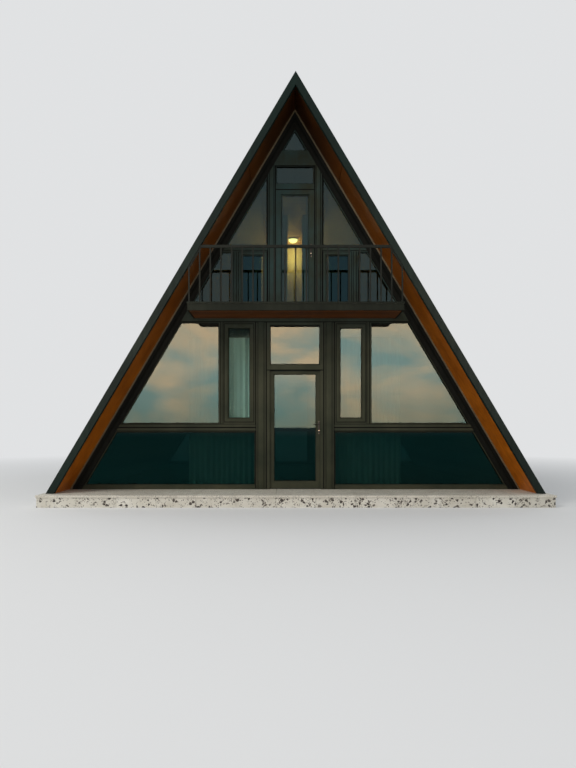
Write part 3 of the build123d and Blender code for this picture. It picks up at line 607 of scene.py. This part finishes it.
def raised_ring(shape, width, lift, rounding):
    """Keep only a ring of this width inside each face's outline, raised by a vector, with round arrises."""
    inside = shape.faces[:]
    ring = inner_ring(shape, width)
    bmesh.ops.delete(shape, geom=inside, context="FACES")
    raised = bmesh.ops.extrude_face_region(shape, geom=ring)["geom"]
    moved = {item for item in raised if isinstance(item, bmesh.types.BMVert)}
    bmesh.ops.translate(shape, vec=lift, verts=list(moved))
    if rounding:
        top = {face for face in shape.faces if moved.issuperset(face.verts)}
        arrises = [edge for edge in shape.edges if len(top.intersection(edge.link_faces)) == 1]
        rounded(shape, arrises, rounding, 2)
    return shape


for node in PANES:
    body = "front_door" if node == "front_door_glass" else "house"
    outer = 1 if node == "rear_glass" else -1
    for facing, side in ((outer, "outside"), (-outer, "inside")):
        beads = raised_ring(outlines(node, facing), BEAD_WIDTH, (0, facing * 0.014, 0), 0.004)
        finished(f"{node}_beads_{side}", beads, frame_coat, body)
        gaskets = outlines(node, facing)
        bmesh.ops.delete(gaskets, geom=inner_ring(gaskets, BEAD_WIDTH), context="FACES")
        raised_ring(gaskets, GASKET_WIDTH, (0, facing * 0.005, 0), 0.0018)
        finished(f"{node}_gaskets_{side}", gaskets, rubber, body)


# GLASS
# Double-glazed units with a grey-green sun coating: they mirror the surroundings, and a tinted body, darkened
# to near black, is painted shade for the rooms behind. The coating drifts from straw to blue over a pane;
# toward the foot of the wall painted shade darkens its reflection to teal.
glass, tree, surface, place = new_material("Sun control glass")
x, y, z = (axis(place, letter) for letter in "XYZ")
drift_of_tint = noise(stretched(place, (0.6, 0.6, 1.2)), 1.0, 4.0, 0.55, 0.4)
coating_and_painted_reflection = mixed(remap(drift_of_tint, 0.38, 0.64), (0.34, 0.66, 0.80, 1), (0.92, 0.94, 0.78, 1))
# Painted shade in the reflection: from about 2.5 m down the coating darkens toward teal, nearly all teal below
# 1.3 m.
reflection_shade_height = plus(z, off_middle(noise(place, 1.6, 3.0), 0.7))
coating_and_painted_reflection = mixed(remap(reflection_shade_height, 1.35, 2.5, 0.62, 0.0), coating_and_painted_reflection, (0.10, 0.24, 0.24, 1))
coating_and_painted_reflection = mixed(remap(z, 1.2, 1.4, 0.9, 0.0), coating_and_painted_reflection, (0.02, 0.22, 0.20, 1))


def front_pane(x_value, x_middle, x_half, z_middle, z_half):
    """1 on the front gable within these distances of a pane's middle, 0 elsewhere."""
    inside = times(maths("COMPARE", x_value, x_middle, x_half), maths("COMPARE", z, z_middle, z_half))
    return times(inside, maths("LESS_THAN", y, 0.0))


# The left sash downstairs has plain glass, through which its curtain shows. The two sashes by the balcony
# door get a painted blue reflection and less painted shade inside, and upstairs the other panes get a lighter,
# green painted reflection.
plain_pane = front_pane(x, -1.04, 0.3, 2.35, 0.95)
# Painted blue reflection on the two sashes by the balcony door.
blue_reflection_pane = front_pane(maths("ABSOLUTE", x), 0.88, 0.24, 4.2, 0.6)
# Painted reflection: from 3.4 m up the coating turns lighter and greener.
coating_and_painted_reflection = mixed(remap(z, 3.4, 3.6, 0.0, 0.75), coating_and_painted_reflection, (0.74, 1.0, 1.0, 1))
coating_and_painted_reflection = mixed(blue_reflection_pane, coating_and_painted_reflection, (0.30, 0.66, 0.80, 1))
# Near-black body tint: painted shade in the rooms, lighter behind the two blue sashes.
tint_and_painted_room_shade = mixed(blue_reflection_pane, (0.045, 0.092, 0.088, 1), (0.002, 0.010, 0.014, 1))
ripple = noise(stretched(place, (1.0, 1.0, 0.6)), 0.9, 1.0)
fill(surface, Transmission_Weight=1.0, IOR=1.56, Roughness=0.0, Normal=bump(ripple, 0.0008),
     Specular_Tint=mixed(plain_pane, coating_and_painted_reflection, (0.015, 0.02, 0.02, 1)),
     Base_Color=mixed(plain_pane, tint_and_painted_room_shade, (0.38, 0.52, 0.52, 1)))
shadow_tint = mixed(plain_pane, (0.50, 0.58, 0.56, 1), (0.90, 0.95, 0.94, 1))


def show_two(factor, first, second, output):
    """The tree of these shaders puts out a mix of them."""
    tree = first.id_data
    feed(made(tree, "MixShader", (factor, first, second)), tree.nodes[output].inputs["Surface"])


show_two(made(tree, "LightPath", output="Is Shadow Ray"), tree.nodes["Principled BSDF"].outputs[0],
         made(tree, "BsdfTransparent", (shadow_tint,)), "Material Output")
dress(glass, *PANES)


# SASHES THAT OPEN
# Each side-hung sash stands a little proud of its fixed frame, with a dark seal in the gap round it.
# Each low rail has two small caps over its drain slots.
to_front = Matrix.Rotation(pi / 2, 4, "X")
sash_bits = bmesh.new()
seal_bits = bmesh.new()
for x_low, z_low, x_high, z_high, reach in ((0.843, 1.546, 1.271, 3.270, 0.060),
                                            (0.578, 3.673, 1.022, 4.642, 0.044)):
    for side in (-1, 1):
        for pieces, grow, thick, proud, rounding in ((sash_bits, reach, reach - 0.002, 0.009, 0.003),
                                                     (seal_bits, reach + 0.012, 0.016, 0.002, 0.0)):
            sash = bmesh.new()
            bmesh.ops.create_grid(sash, x_segments=1, y_segments=1, size=0.5)
            bmesh.ops.scale(sash, vec=(x_high - x_low + 2 * grow, z_high - z_low + 2 * grow, 1),
                            verts=sash.verts)
            raised_ring(sash, thick, (0, 0, proud), rounding)
            middle = at(side * (x_low + x_high) / 2, -WALL, (z_low + z_high) / 2)
            lay(pieces, sash, middle @ to_front)
finished("sash_leaves", sash_bits, frame_coat)
finished("sash_seals", seal_bits, rubber)
caps = bmesh.new()
cap = stamp((0.045, 0.004, 0.011), 0.0015, 2)
for rail_z, places in ((0.246, (1.05, 1.9, 2.75, 3.5)), (1.35, (1.75, 2.6)), (3.585, (0.7, 0.95, 1.5))):
    for cap_x in places:
        for side in (-1, 1):
            for end in (-1, 1):
                lay(caps, cap, at(side * cap_x, end * (WALL + 0.001), rail_z))
finished("drain_caps", caps, frame_coat)


# DOOR FITTINGS
# Satin dark steel lever sets and hinges, and key cylinders of bright nickel.
# The cylinder has a key slot, and each long plate is held by two countersunk screws.
dark_steel = coated_metal("Dark satin steel", (50, 48, 44), (34, 33, 31), 0.32, (120, 116, 108), wear=0.6,
                          lustre=0.12, reach=0.0006)
dress(dark_steel, "front_door_fittings", "balcony_door_handle", "door_frame_hinges")
nickel, _, surface, place = new_material("Bright nickel")
scratch = noise(stretched(place, (1, 1, 30)), 60.0, 3.0)
fill(surface, Base_Color=shaded(scratch, (196, 186, 164), (226, 220, 204)),
     Metallic=1.0, Roughness=remap(scratch, 0.3, 0.7, 0.18, 0.34))
cylinder = cone(bmesh.new(), 28, 0.0088, 0.0088, 0.012)
rims = [edge for edge in cylinder.edges if abs(edge.verts[0].co.z - edge.verts[1].co.z) < 1e-6]
rounded(cylinder, rims, 0.0012, 2)
slot_shape = stamp((0.0018, 0.009, 0.001))
screw_head = flat_ball(16, (1, 1, 0.35))
for label, lock_x, face_y, lever_z, body in (("front_door", 0.453, -3.993, 1.44, "front_door"),
                                             ("balcony_door", 0.303, -4.028, 4.785, "house")):
    lock = bmesh.new()
    lay(lock, cylinder, at(lock_x, face_y + 0.001, lever_z - 0.12) @ to_front)
    for screw_z in (lever_z + 0.045, lever_z - 0.175):
        lay(lock, screw_head, at(lock_x, face_y, screw_z) @ to_front)
    finished(f"{label}_cylinder", lock, nickel, body)
    key_slot = bmesh.new()
    lay(key_slot, slot_shape, at(lock_x, face_y - 0.0052, lever_z - 0.12) @ to_front)
    finished(f"{label}_key_slot", key_slot, rubber, body)


# PLINTH
# A concrete core faced with pale terrazzo slabs with black chips, under stone slabs with a rounded nosing.
# Joints between slabs are narrow and filled with grey mortar.
PLINTH_X = 4.45
PLINTH_Y = 5.04
NOSING = 0.014
END_SLABS = 13
SIDE_FACINGS = 15
SIDE_SLABS = 11
chips, source, result = new_group(
    "Stone chips", {"Vector": None, "Scale": 40.0, "Share": 0.4, "Gap": 0.08}, ("Mask", "Tone"))
wobble = made(chips, "TexNoise", {"Vector": source["Vector"], "Scale": 55.0}, "Color")
wobble = stretched(wobble, (0.014, 0.014, 0.014))
bent = made(chips, "VectorMath", (source["Vector"], wobble), operation="ADD")
cell = made(chips, "TexVoronoi", {"Vector": bent, "Scale": source["Scale"]}, "Color")
edge = made(chips, "TexVoronoi", {"Vector": bent, "Scale": source["Scale"]}, feature="DISTANCE_TO_EDGE")
crowd = noise(source["Vector"], 7.0, 2.0)
share = plus(source["Share"], off_middle(crowd, 0.9))
chosen = maths("LESS_THAN", made(chips, "SeparateColor", (cell,), 0), share)
apart = maths("GREATER_THAN", edge, source["Gap"])
fill(result, Mask=times(chosen, apart), Tone=made(chips, "SeparateColor", (cell,), 1))


def chipped_stone(name, ground, ground_shade, chip_dark, chip_light, large, large_share, small_share, gloss):
    """Terrazzo: large and small chips in a cement ground, polished and a little stained."""
    material, tree, surface, place = new_material(name)
    stain = noise(place, 2.6, 5.0, 0.6)
    colour = shaded(remap(stain, 0.35, 0.7), ground_shade, ground)
    small = placed(tree, chips, Vector=place, Scale=large * 3.2, Share=small_share, Gap=0.06)
    big = placed(tree, chips, Vector=place, Scale=large, Share=large_share, Gap=0.07)
    colour = mixed(small["Mask"], colour, shaded(small["Tone"], chip_dark, chip_light))
    big_tone = maths("POWER", big["Tone"], 3.0)
    colour = mixed(big["Mask"], colour, shaded(big_tone, chip_dark, chip_light))
    slab_tone = made(tree, "Attribute", output="Fac", attribute_name="tone")
    pits = plus(noise(place, 180.0, 2.0), times(big["Mask"], 0.6))
    fill(surface, Roughness=remap(stain, 0.3, 0.7, gloss + 0.12, gloss - 0.05),
         Base_Color=mixed(remap(slab_tone, 0.0, 1.0, 0.0, 0.14), colour, paint((120, 112, 96))),
         Normal=bump(pits, 0.0005))
    return material


concrete, _, surface, place = new_material("Cast concrete")
cast = noise(place, 5.0, 6.0, 0.65)
fill(surface, Base_Color=shaded(cast, (112, 110, 104), (158, 155, 147)),
     Roughness=0.88, Normal=bump(noise(place, 90.0, 5.0), 0.002))
dress(concrete, "plinth_core", "balcony_slab")
facing_stone = chipped_stone("Facing terrazzo", (226, 223, 212), (204, 199, 184), (8, 9, 8),
                             (104, 100, 92), 21.0, 0.22, 0.13, 0.5)
top_stone = chipped_stone("Slab terrazzo", (222, 217, 203), (200, 194, 178), (128, 122, 110),
                          (236, 232, 220), 90.0, 0.18, 0.3, 0.5)
facing_slabs = bmesh.new()
end_pitch = 2 * PLINTH_X / END_SLABS
slab = stamp((end_pitch - 0.004, 0.03, 0.17), 0.002)
for end in (-1, 1):
    for slab_x in spread(END_SLABS, end_pitch):
        lay(facing_slabs, slab, at(slab_x, end * (PLINTH_Y - 0.015), 0.085), chance.random())
side_pitch = 2 * (PLINTH_Y - 0.03) / SIDE_FACINGS
slab = stamp((0.03, side_pitch - 0.004, 0.17), 0.002)
for side in (-1, 1):
    for slab_y in spread(SIDE_FACINGS, side_pitch):
        lay(facing_slabs, slab, at(side * (PLINTH_X - 0.015), slab_y, 0.085), chance.random())
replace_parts(finished("plinth_facing_slabs", facing_slabs, facing_stone, smooth=0),
            "plinth_facing")

top_slabs = bmesh.new()
INNER_EDGE_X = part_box("ground_floor")[1].x
INNER_EDGE_Y = 3.92


def lay_top_slabs(size, nose_axis, places):
    """Slabs with fine arrises, and a rounded upper edge on the side that looks along minus the nose axis."""
    slab = stamp(size)
    nose = [edge for edge in slab.edges if all(v.co.z > 0 and v.co[nose_axis] < 0 for v in edge.verts)]
    rounded(slab, nose, 0.009, 5)
    rounded(slab, [edge for edge in slab.edges if edge.calc_face_angle(0) > 1.0], 0.0014, 1)
    for turn in (Matrix.Identity(4), other_side):
        for x, y in places:
            lay(top_slabs, slab, turn @ at(x, y, 0.19), chance.random())


end_depth = PLINTH_Y + NOSING - INNER_EDGE_Y
end_pitch = 2 * (PLINTH_X + NOSING) / END_SLABS
lay_top_slabs((end_pitch - 0.003, end_depth, 0.04), 1,
              [(slab_x, -(INNER_EDGE_Y + end_depth / 2)) for slab_x in spread(END_SLABS, end_pitch)])
side_depth = PLINTH_X + NOSING - INNER_EDGE_X
side_pitch = 2 * INNER_EDGE_Y / SIDE_SLABS
lay_top_slabs((side_depth, side_pitch - 0.003, 0.04), 0,
              [(-(INNER_EDGE_X + side_depth / 2), slab_y) for slab_y in spread(SIDE_SLABS, side_pitch)])
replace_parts(finished("plinth_top_slabs", top_slabs, top_stone, smooth=40), "plinth_top")


# FLOORS, CEILING AND PARTITION
# Oiled oak boards lie on both floors, and tongued pine boards are nailed under the loft.
# The partition behind the lamp has a thrown coat of coarse pale render.
oak = boards_in_place("Floor oak", (96, 62, 34), (160, 116, 72), 0.36, "X", "Y", 0.15, (36, 22, 12), 0.0012)
dress(oak, "ground_floor", "upper_floor")
pine = boards_in_place("Ceiling pine", (150, 104, 56), (206, 160, 100), 0.42, "Y", "X", 0.09, (60, 36, 16),
                       0.004)
dress(pine, "upper_ceiling")
render_coat, _, surface, place = new_material("Coarse render")
lumps = noise(place, 14.0, 8.0, 0.7)
sand = noise(place, 160.0, 3.0)
relief = plus(times(lumps, 3.0), times(sand, 0.4))
fill(surface, Roughness=remap(sand, 0.3, 0.7, 0.8, 0.95), Normal=bump(relief, 0.006),
     Base_Color=shaded(remap(lumps, 0.3, 0.7), (196, 178, 148), (226, 212, 186)))
dress(render_coat, "upper_partition")


# BALCONY
# A slab in a folded dark metal edge with a drip lip, stained boards below and stone tiles on top.
# Tiles overhang the edge by a centimetre, and the sheet edge is lapped and riveted every metre.
DECK_Z = 3.5675
TILE_X = 0.382
TILE_Y = 0.395
UNDER_PITCH = 0.765 / 8
balcony_coat = coated_metal("Balcony edge coat", (38, 42, 34), (28, 32, 26), 0.52, (98, 98, 88), lustre=0.05)
dress(balcony_coat, "balcony_fascia")
tiles = bmesh.new()
tile = stamp((TILE_X - 0.003, TILE_Y - 0.003, 0.025), 0.003, 2)
for tile_x in spread(10, TILE_X):
    for tile_y in spread(2, TILE_Y, -4.415):
        lay(tiles, tile, at(tile_x, tile_y, DECK_Z), chance.random())
tile_stone = chipped_stone("Deck tiles", (150, 144, 130), (126, 120, 108), (60, 57, 52),
                           (178, 172, 158), 110.0, 0.3, 0.4, 0.55)
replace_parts(finished("balcony_tiles", tiles, tile_stone, smooth=0), "balcony_deck")
under_boards = bmesh.new()
board = stamp((3.768, UNDER_PITCH - 0.004, 0.012), 0.0018)
for board_y in spread(8, UNDER_PITCH, -4.4025):
    lay(under_boards, board, at(0, board_y, 3.444), chance.random())
under_wood = board_wood("Stained balcony boards", (84, 43, 14), (140, 82, 34), 0.45)
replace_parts(finished("balcony_under_boards", under_boards, under_wood, smooth=0),
            "balcony_soffit")
# A dark angle bead closes the edge of the tiles.
edge_bits = bmesh.new()
lay(edge_bits, stamp((3.826, 0.003, 0.027), 0.0012, 2), at(0, -4.8115, DECK_Z))
for side in (-1, 1):
    lay(edge_bits, stamp((0.003, 0.792, 0.027), 0.0012, 2), at(side * 1.9115, -4.4155, DECK_Z))
edge_lap = stamp((0.04, 0.0016, 0.115), 0.0006)
for lap_x in (-0.95, 0.95):
    lay(edge_bits, edge_lap, at(lap_x, -VERGE - 0.0006, 3.496))
    for rivet_z in (3.465, 3.53):
        lay(edge_bits, rivet, at(lap_x, -VERGE - 0.0015, rivet_z))
finished("balcony_edge_laps", edge_bits, balcony_coat)


# RAILING
# Square steel bars welded to a flat top rail and to small foot plates that are bolted to the deck.
# The coat is dark green-grey and chips first at the welds.
BAR_COUNT = 21
BAR_PITCH = 0.1875
RAIL_Y = -4.777
DECK_TOP = 3.58
BOLT_REACH = 0.0215
rail_coat = coated_metal("Railing coat", (34, 38, 33), (22, 27, 24), 0.5, (88, 88, 78), wear=0.9, lustre=0.08)
dress(rail_coat, "railing")
feet = bmesh.new()
foot_plate = stamp((0.056, 0.046, 0.005), 0.0015, 2)
bolt = cone(bmesh.new(), 6, 0.0046, 0.0042, 0.004)
weld = cone(bmesh.new(), 12, 0.0195, 0.0165, 0.004)
for bar_x in spread(BAR_COUNT, BAR_PITCH):
    lay(feet, foot_plate, at(bar_x, RAIL_Y, DECK_TOP + 0.0025))
    lay(feet, weld, at(bar_x, RAIL_Y, DECK_TOP + 0.0065))
    for offset in (-BOLT_REACH, BOLT_REACH):
        lay(feet, bolt, at(bar_x + offset, RAIL_Y + offset * 0.7, DECK_TOP + 0.007))
finished("baluster_feet", feet, rail_coat)


# CURTAIN RAILS
# Round brushed steel rails on ceiling hangers, with turned knobs on their ends.
# One bent wire ring for each pleat runs on the rail and carries the cloth.
CURTAIN_Y = -3.81
PLEAT = 0.105
# On each storey: start of the curtain from the middle, pleats, height of the rail, foot and head of the cloth.
HANGING = {"ground": (0.77, 12, 3.11, 0.23, 3.098), "upper": (0.14, 3, 5.459, 3.575, 5.447)}
rail_steel = coated_metal("Brushed rail steel", (150, 148, 142), (118, 116, 110), 0.3,
                          (190, 188, 182), Streaks=0.1)
dress(rail_steel, "curtain_rails")


def spun(shape, centre, steps):
    """Turn an outline once round an upright axis."""
    bmesh.ops.spin(shape, geom=shape.verts[:] + shape.edges[:], cent=centre, axis=(0, 0, 1), angle=tau,
                   steps=steps, use_merge=True)
    return shape


ring = bmesh.new()
bmesh.ops.create_circle(ring, segments=8, radius=0.0022)
bmesh.ops.translate(ring, vec=(0.0165, 0, 0), verts=ring.verts)
bmesh.ops.rotate(ring, cent=(0.0165, 0, 0), matrix=Matrix.Rotation(pi / 2, 3, "X"), verts=ring.verts)
spun(ring, (0, 0, 0), 24)
rings = bmesh.new()
for side in (-1, 1):
    for start, pleats, rail_z, _, _ in HANGING.values():
        for number in range(pleats):
            hook = at(side * (start + (number + 0.5) * PLEAT), CURTAIN_Y, rail_z - 0.0045)
            lay(rings, ring, hook @ Matrix.Rotation(pi / 2, 4, "Y"))
finished("curtain_rings", rings, rail_steel, smooth=60)


# CURTAINS
# Pale grey-green woven cloth, gathered on a tape so that it falls in soft upright folds to the floor.
# Two wide ones hang downstairs and two narrow ones by the balcony door; each is cut 1.75 times its rail.
WAVE = 0.026
CLOTH_GAIN = 1.75
CLOTH_FRAMES = 26
cloth_fibre, tree, surface, _ = new_material("Woven curtain cloth")
weave_place = made(tree, "UVMap", output="UV", uv_map="UVMap")
threads = [times(axis(weave_place, letter), 3600.0) for letter in "XY"]
weave = times(*(maths("SINE", thread) for thread in threads))
slub = noise(stretched(weave_place, (6.0, 90.0, 1.0)), 4.0, 3.0)
cloud = noise(weave_place, 3.0, 3.0)
fibre_tone = plus(times(slub, 0.6), times(cloud, 0.4))
fill(surface, Roughness=0.9, Sheen_Weight=0.25,
     Base_Color=shaded(remap(fibre_tone, 0.35, 0.65), (160, 176, 170), (198, 208, 202)),
     Normal=bump(plus(weave, slub), 0.0002))


def hung(label, side, start, pleats, foot, head):
    """Cloth hung in pleats from the rings, settled under its own weight."""
    wide = pleats * PLEAT
    cloth = bmesh.new()
    bmesh.ops.create_grid(cloth, x_segments=pleats * 14, y_segments=46 if pleats > 5 else 34, size=0.5)
    uv_layer = cloth.loops.layers.uv.new("UVMap")
    for face in cloth.faces:
        for loop in face.loops:
            x, y, _ = loop.vert.co
            loop[uv_layer].uv = ((x + 0.5) * wide * CLOTH_GAIN, (y + 0.5) * (head - foot))
    fold = random.Random(label)
    lean = [fold.uniform(-0.4, 0.4) for _ in range(4)]
    for vert in cloth.verts:
        across = vert.co.x + 0.5
        fall = 0.5 - vert.co.y
        sway = sin(across * 7 + lean[0] * 9) * lean[1] + sin(across * 15 + lean[2] * 9) * lean[3]
        depth = WAVE * (0.86 + 0.14 * cos(across * 11 + lean[0] * 20) * min(1.0, fall * 3))
        phase = tau * across * pleats + sway * fall * 1.3
        bunch = 0.17 * PLEAT * sin(2 * phase)
        vert.co = Vector((side * (start + across * wide + bunch), CURTAIN_Y + depth * sin(phase),
                          head - fall * (head - foot)))
    mesh = mesh_of(f"curtain_{label}", cloth, cloth_fibre)
    curtain = linked(f"curtain_{label}", mesh)
    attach(curtain, "house")
    hooks = curtain.vertex_groups.new(name="hooks")
    hooks.add([vert.index for vert in mesh.vertices if vert.co.z > head - 0.001], 1.0, "REPLACE")
    hang = curtain.modifiers.new("Hang", "CLOTH")
    set_all(hang.settings, quality=5, mass=0.25, tension_stiffness=30, compression_stiffness=20,
            shear_stiffness=8, bending_stiffness=0.15, air_damping=3, vertex_group_mass="hooks")
    hang.collision_settings.use_self_collision = False
    set_all(hang.point_cache, frame_start=1, frame_end=CLOTH_FRAMES)
    for number in range(1, CLOTH_FRAMES + 1):
        scene.frame_set(number)
    settled = bpy.data.meshes.new_from_object(curtain.evaluated_get(bpy.context.evaluated_depsgraph_get()))
    curtain.modifiers.remove(hang)
    curtain.data = settled
    return curtain


for storey, (start, pleats, _, foot, head) in HANGING.items():
    for word, side in (("left", -1), ("right", 1)):
        curtain = hung(f"{word}_{storey}", side, start, pleats, foot, head)
        if curtain.name == "curtain_left_ground":
            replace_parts(curtain, "curtains")


# CEILING LAMP
# An opal glass bowl on a round base of painted steel, which is screwed up against the boarded ceiling.
# A warm bulb lights it from inside.
LAMP_Y = -1.14
LAMP_TOP = 5.889
BOWL_RADIUS = 0.105


def turned(*points):
    """Shape turned on a lathe, from the radius and height of each point under the ceiling."""
    shape = bmesh.new()
    verts = [shape.verts.new((radius, LAMP_Y, LAMP_TOP + height)) for radius, height in points]
    for pair in zip(verts, verts[1:]):
        shape.edges.new(pair)
    return spun(shape, (0, LAMP_Y, 0), 48)


lamp_steel = coated_metal("Lamp base enamel", (206, 200, 188), (182, 176, 164), 0.35, (150, 144, 132))
lamp_base = turned((0.001, 0.0), (0.13, 0.0), (0.13, -0.010), (0.127, -0.018), (0.118, -0.024), (0.001, -0.024))
finished("lamp_base", lamp_base, lamp_steel)
opal, _, surface, place = new_material("Lit opal glass")
glow = noise(place, 6.0, 2.0)
fill(surface, Base_Color=shaded(glow, (255, 226, 168), (255, 240, 204)), Roughness=0.3,
     Emission_Color=shaded(glow, (255, 190, 104), (255, 210, 136)), Emission_Strength=26.0)
bowl = turned(*((BOWL_RADIUS * sin(radians(a)), -0.022 - 0.07 * cos(radians(a)))
                for a in range(2, 93, 6)))
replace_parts(finished("lamp_bowl", bowl, opal, smooth=60), "ceiling_lamp")


def light(name, kind, place, energy, colour, **settings):
    """Linked light of this kind, at its place."""
    lamp = set_all(bpy.data.lights.new(name, kind), energy=energy, color=colour, **settings)
    return set_all(linked(name, lamp), location=place)


bulb = light("Lamp light", "POINT", (0, LAMP_Y + 0.16, LAMP_TOP - 0.3), 110, (1.0, 0.46, 0.13),
             shadow_soft_size=0.08)
set_all(bulb, visible_camera=False, visible_transmission=False, visible_glossy=False)


# FLOOR OF THE STUDIO
# A plain pale floor of matt paper that keeps the shadow of the house.
# Far from the house it fades into the pale backdrop.
BACKDROP = (0.75, 0.76, 0.77, 1)
studio_floor = bmesh.new()
bmesh.ops.create_grid(studio_floor, x_segments=1, y_segments=1, size=60)
studio_paper, tree, surface, place = new_material("Studio paper")
fill(surface, Roughness=0.95, Specular_IOR_Level=0.1,
     Base_Color=mixed(noise(place, 0.2, 2.0), (0.82, 0.82, 0.81, 1), (0.86, 0.86, 0.85, 1)))


def in_view(tree):
    """1 for rays from the camera, also when they are mirrored or pass through glass."""
    path = tree.nodes.new("ShaderNodeLightPath").outputs
    direct = maths("MAXIMUM", path["Is Camera Ray"], path["Is Glossy Ray"])
    return maths("MAXIMUM", direct, path["Is Transmission Ray"])


far = made(tree, "VectorMath", (place,), "Value", operation="LENGTH")
show_two(times(remap(far, 6.5, 19.0), in_view(tree)),
         tree.nodes["Principled BSDF"].outputs[0], made(tree, "Emission", (BACKDROP,)), "Material Output")
linked("studio_floor", mesh_of("studio_floor", studio_floor, studio_paper, smooth=False))


# LIGHT
# A plain pale sky all round, one large soft lamp from the upper left and one low soft panel in front.
# The panel only shows as a sheen on glass and metal.
world = bpy.data.worlds.new("Studio")
world.use_nodes = True
scene.world = world
tree = world.node_tree
fill(tree.nodes["Background"].inputs, Color=(0.86, 0.89, 0.92, 1), Strength=0.62)
show_two(in_view(tree), tree.nodes["Background"].outputs[0],
         made(tree, "Background", (BACKDROP, 1.0)), "World Output")


def soft_lamp(name, place, target, wide, tall, energy, colour):
    """Rectangular lamp that points from its place at a target."""
    toward = Vector(target) - Vector(place)
    lamp = light(name, "AREA", place, energy, colour, shape="RECTANGLE", size=wide, size_y=tall)
    return set_all(lamp, rotation_euler=toward.to_track_quat("-Z", "Y").to_euler())


soft_lamp("Key", (-14, -17, 15), (0, -3, 3), 10, 10, 2000, (1.0, 0.97, 0.93))
panel = soft_lamp("Front panel", (0, -23, 4.25), (0, -4, 4.25), 20, 5.6, 2900, (1.0, 0.72, 0.52))
panel.visible_diffuse = False


# CAMERA
# Stands in front, a little left of the middle, at eye height, and looks level at the front gable.
# The lens is a wide one, shifted upward so that upright edges stay upright.
camera = set_all(bpy.data.cameras.new("Camera"), sensor_fit="VERTICAL", sensor_height=36, lens=27.05,
                 shift_x=0.0026, shift_y=0.0599, clip_end=300)
standing = set_all(linked("Camera", camera), location=(-0.17, -14.92, 1.33), rotation_euler=(pi / 2, 0, 0))
scene.camera = standing
scene.view_settings.view_transform = "Standard"
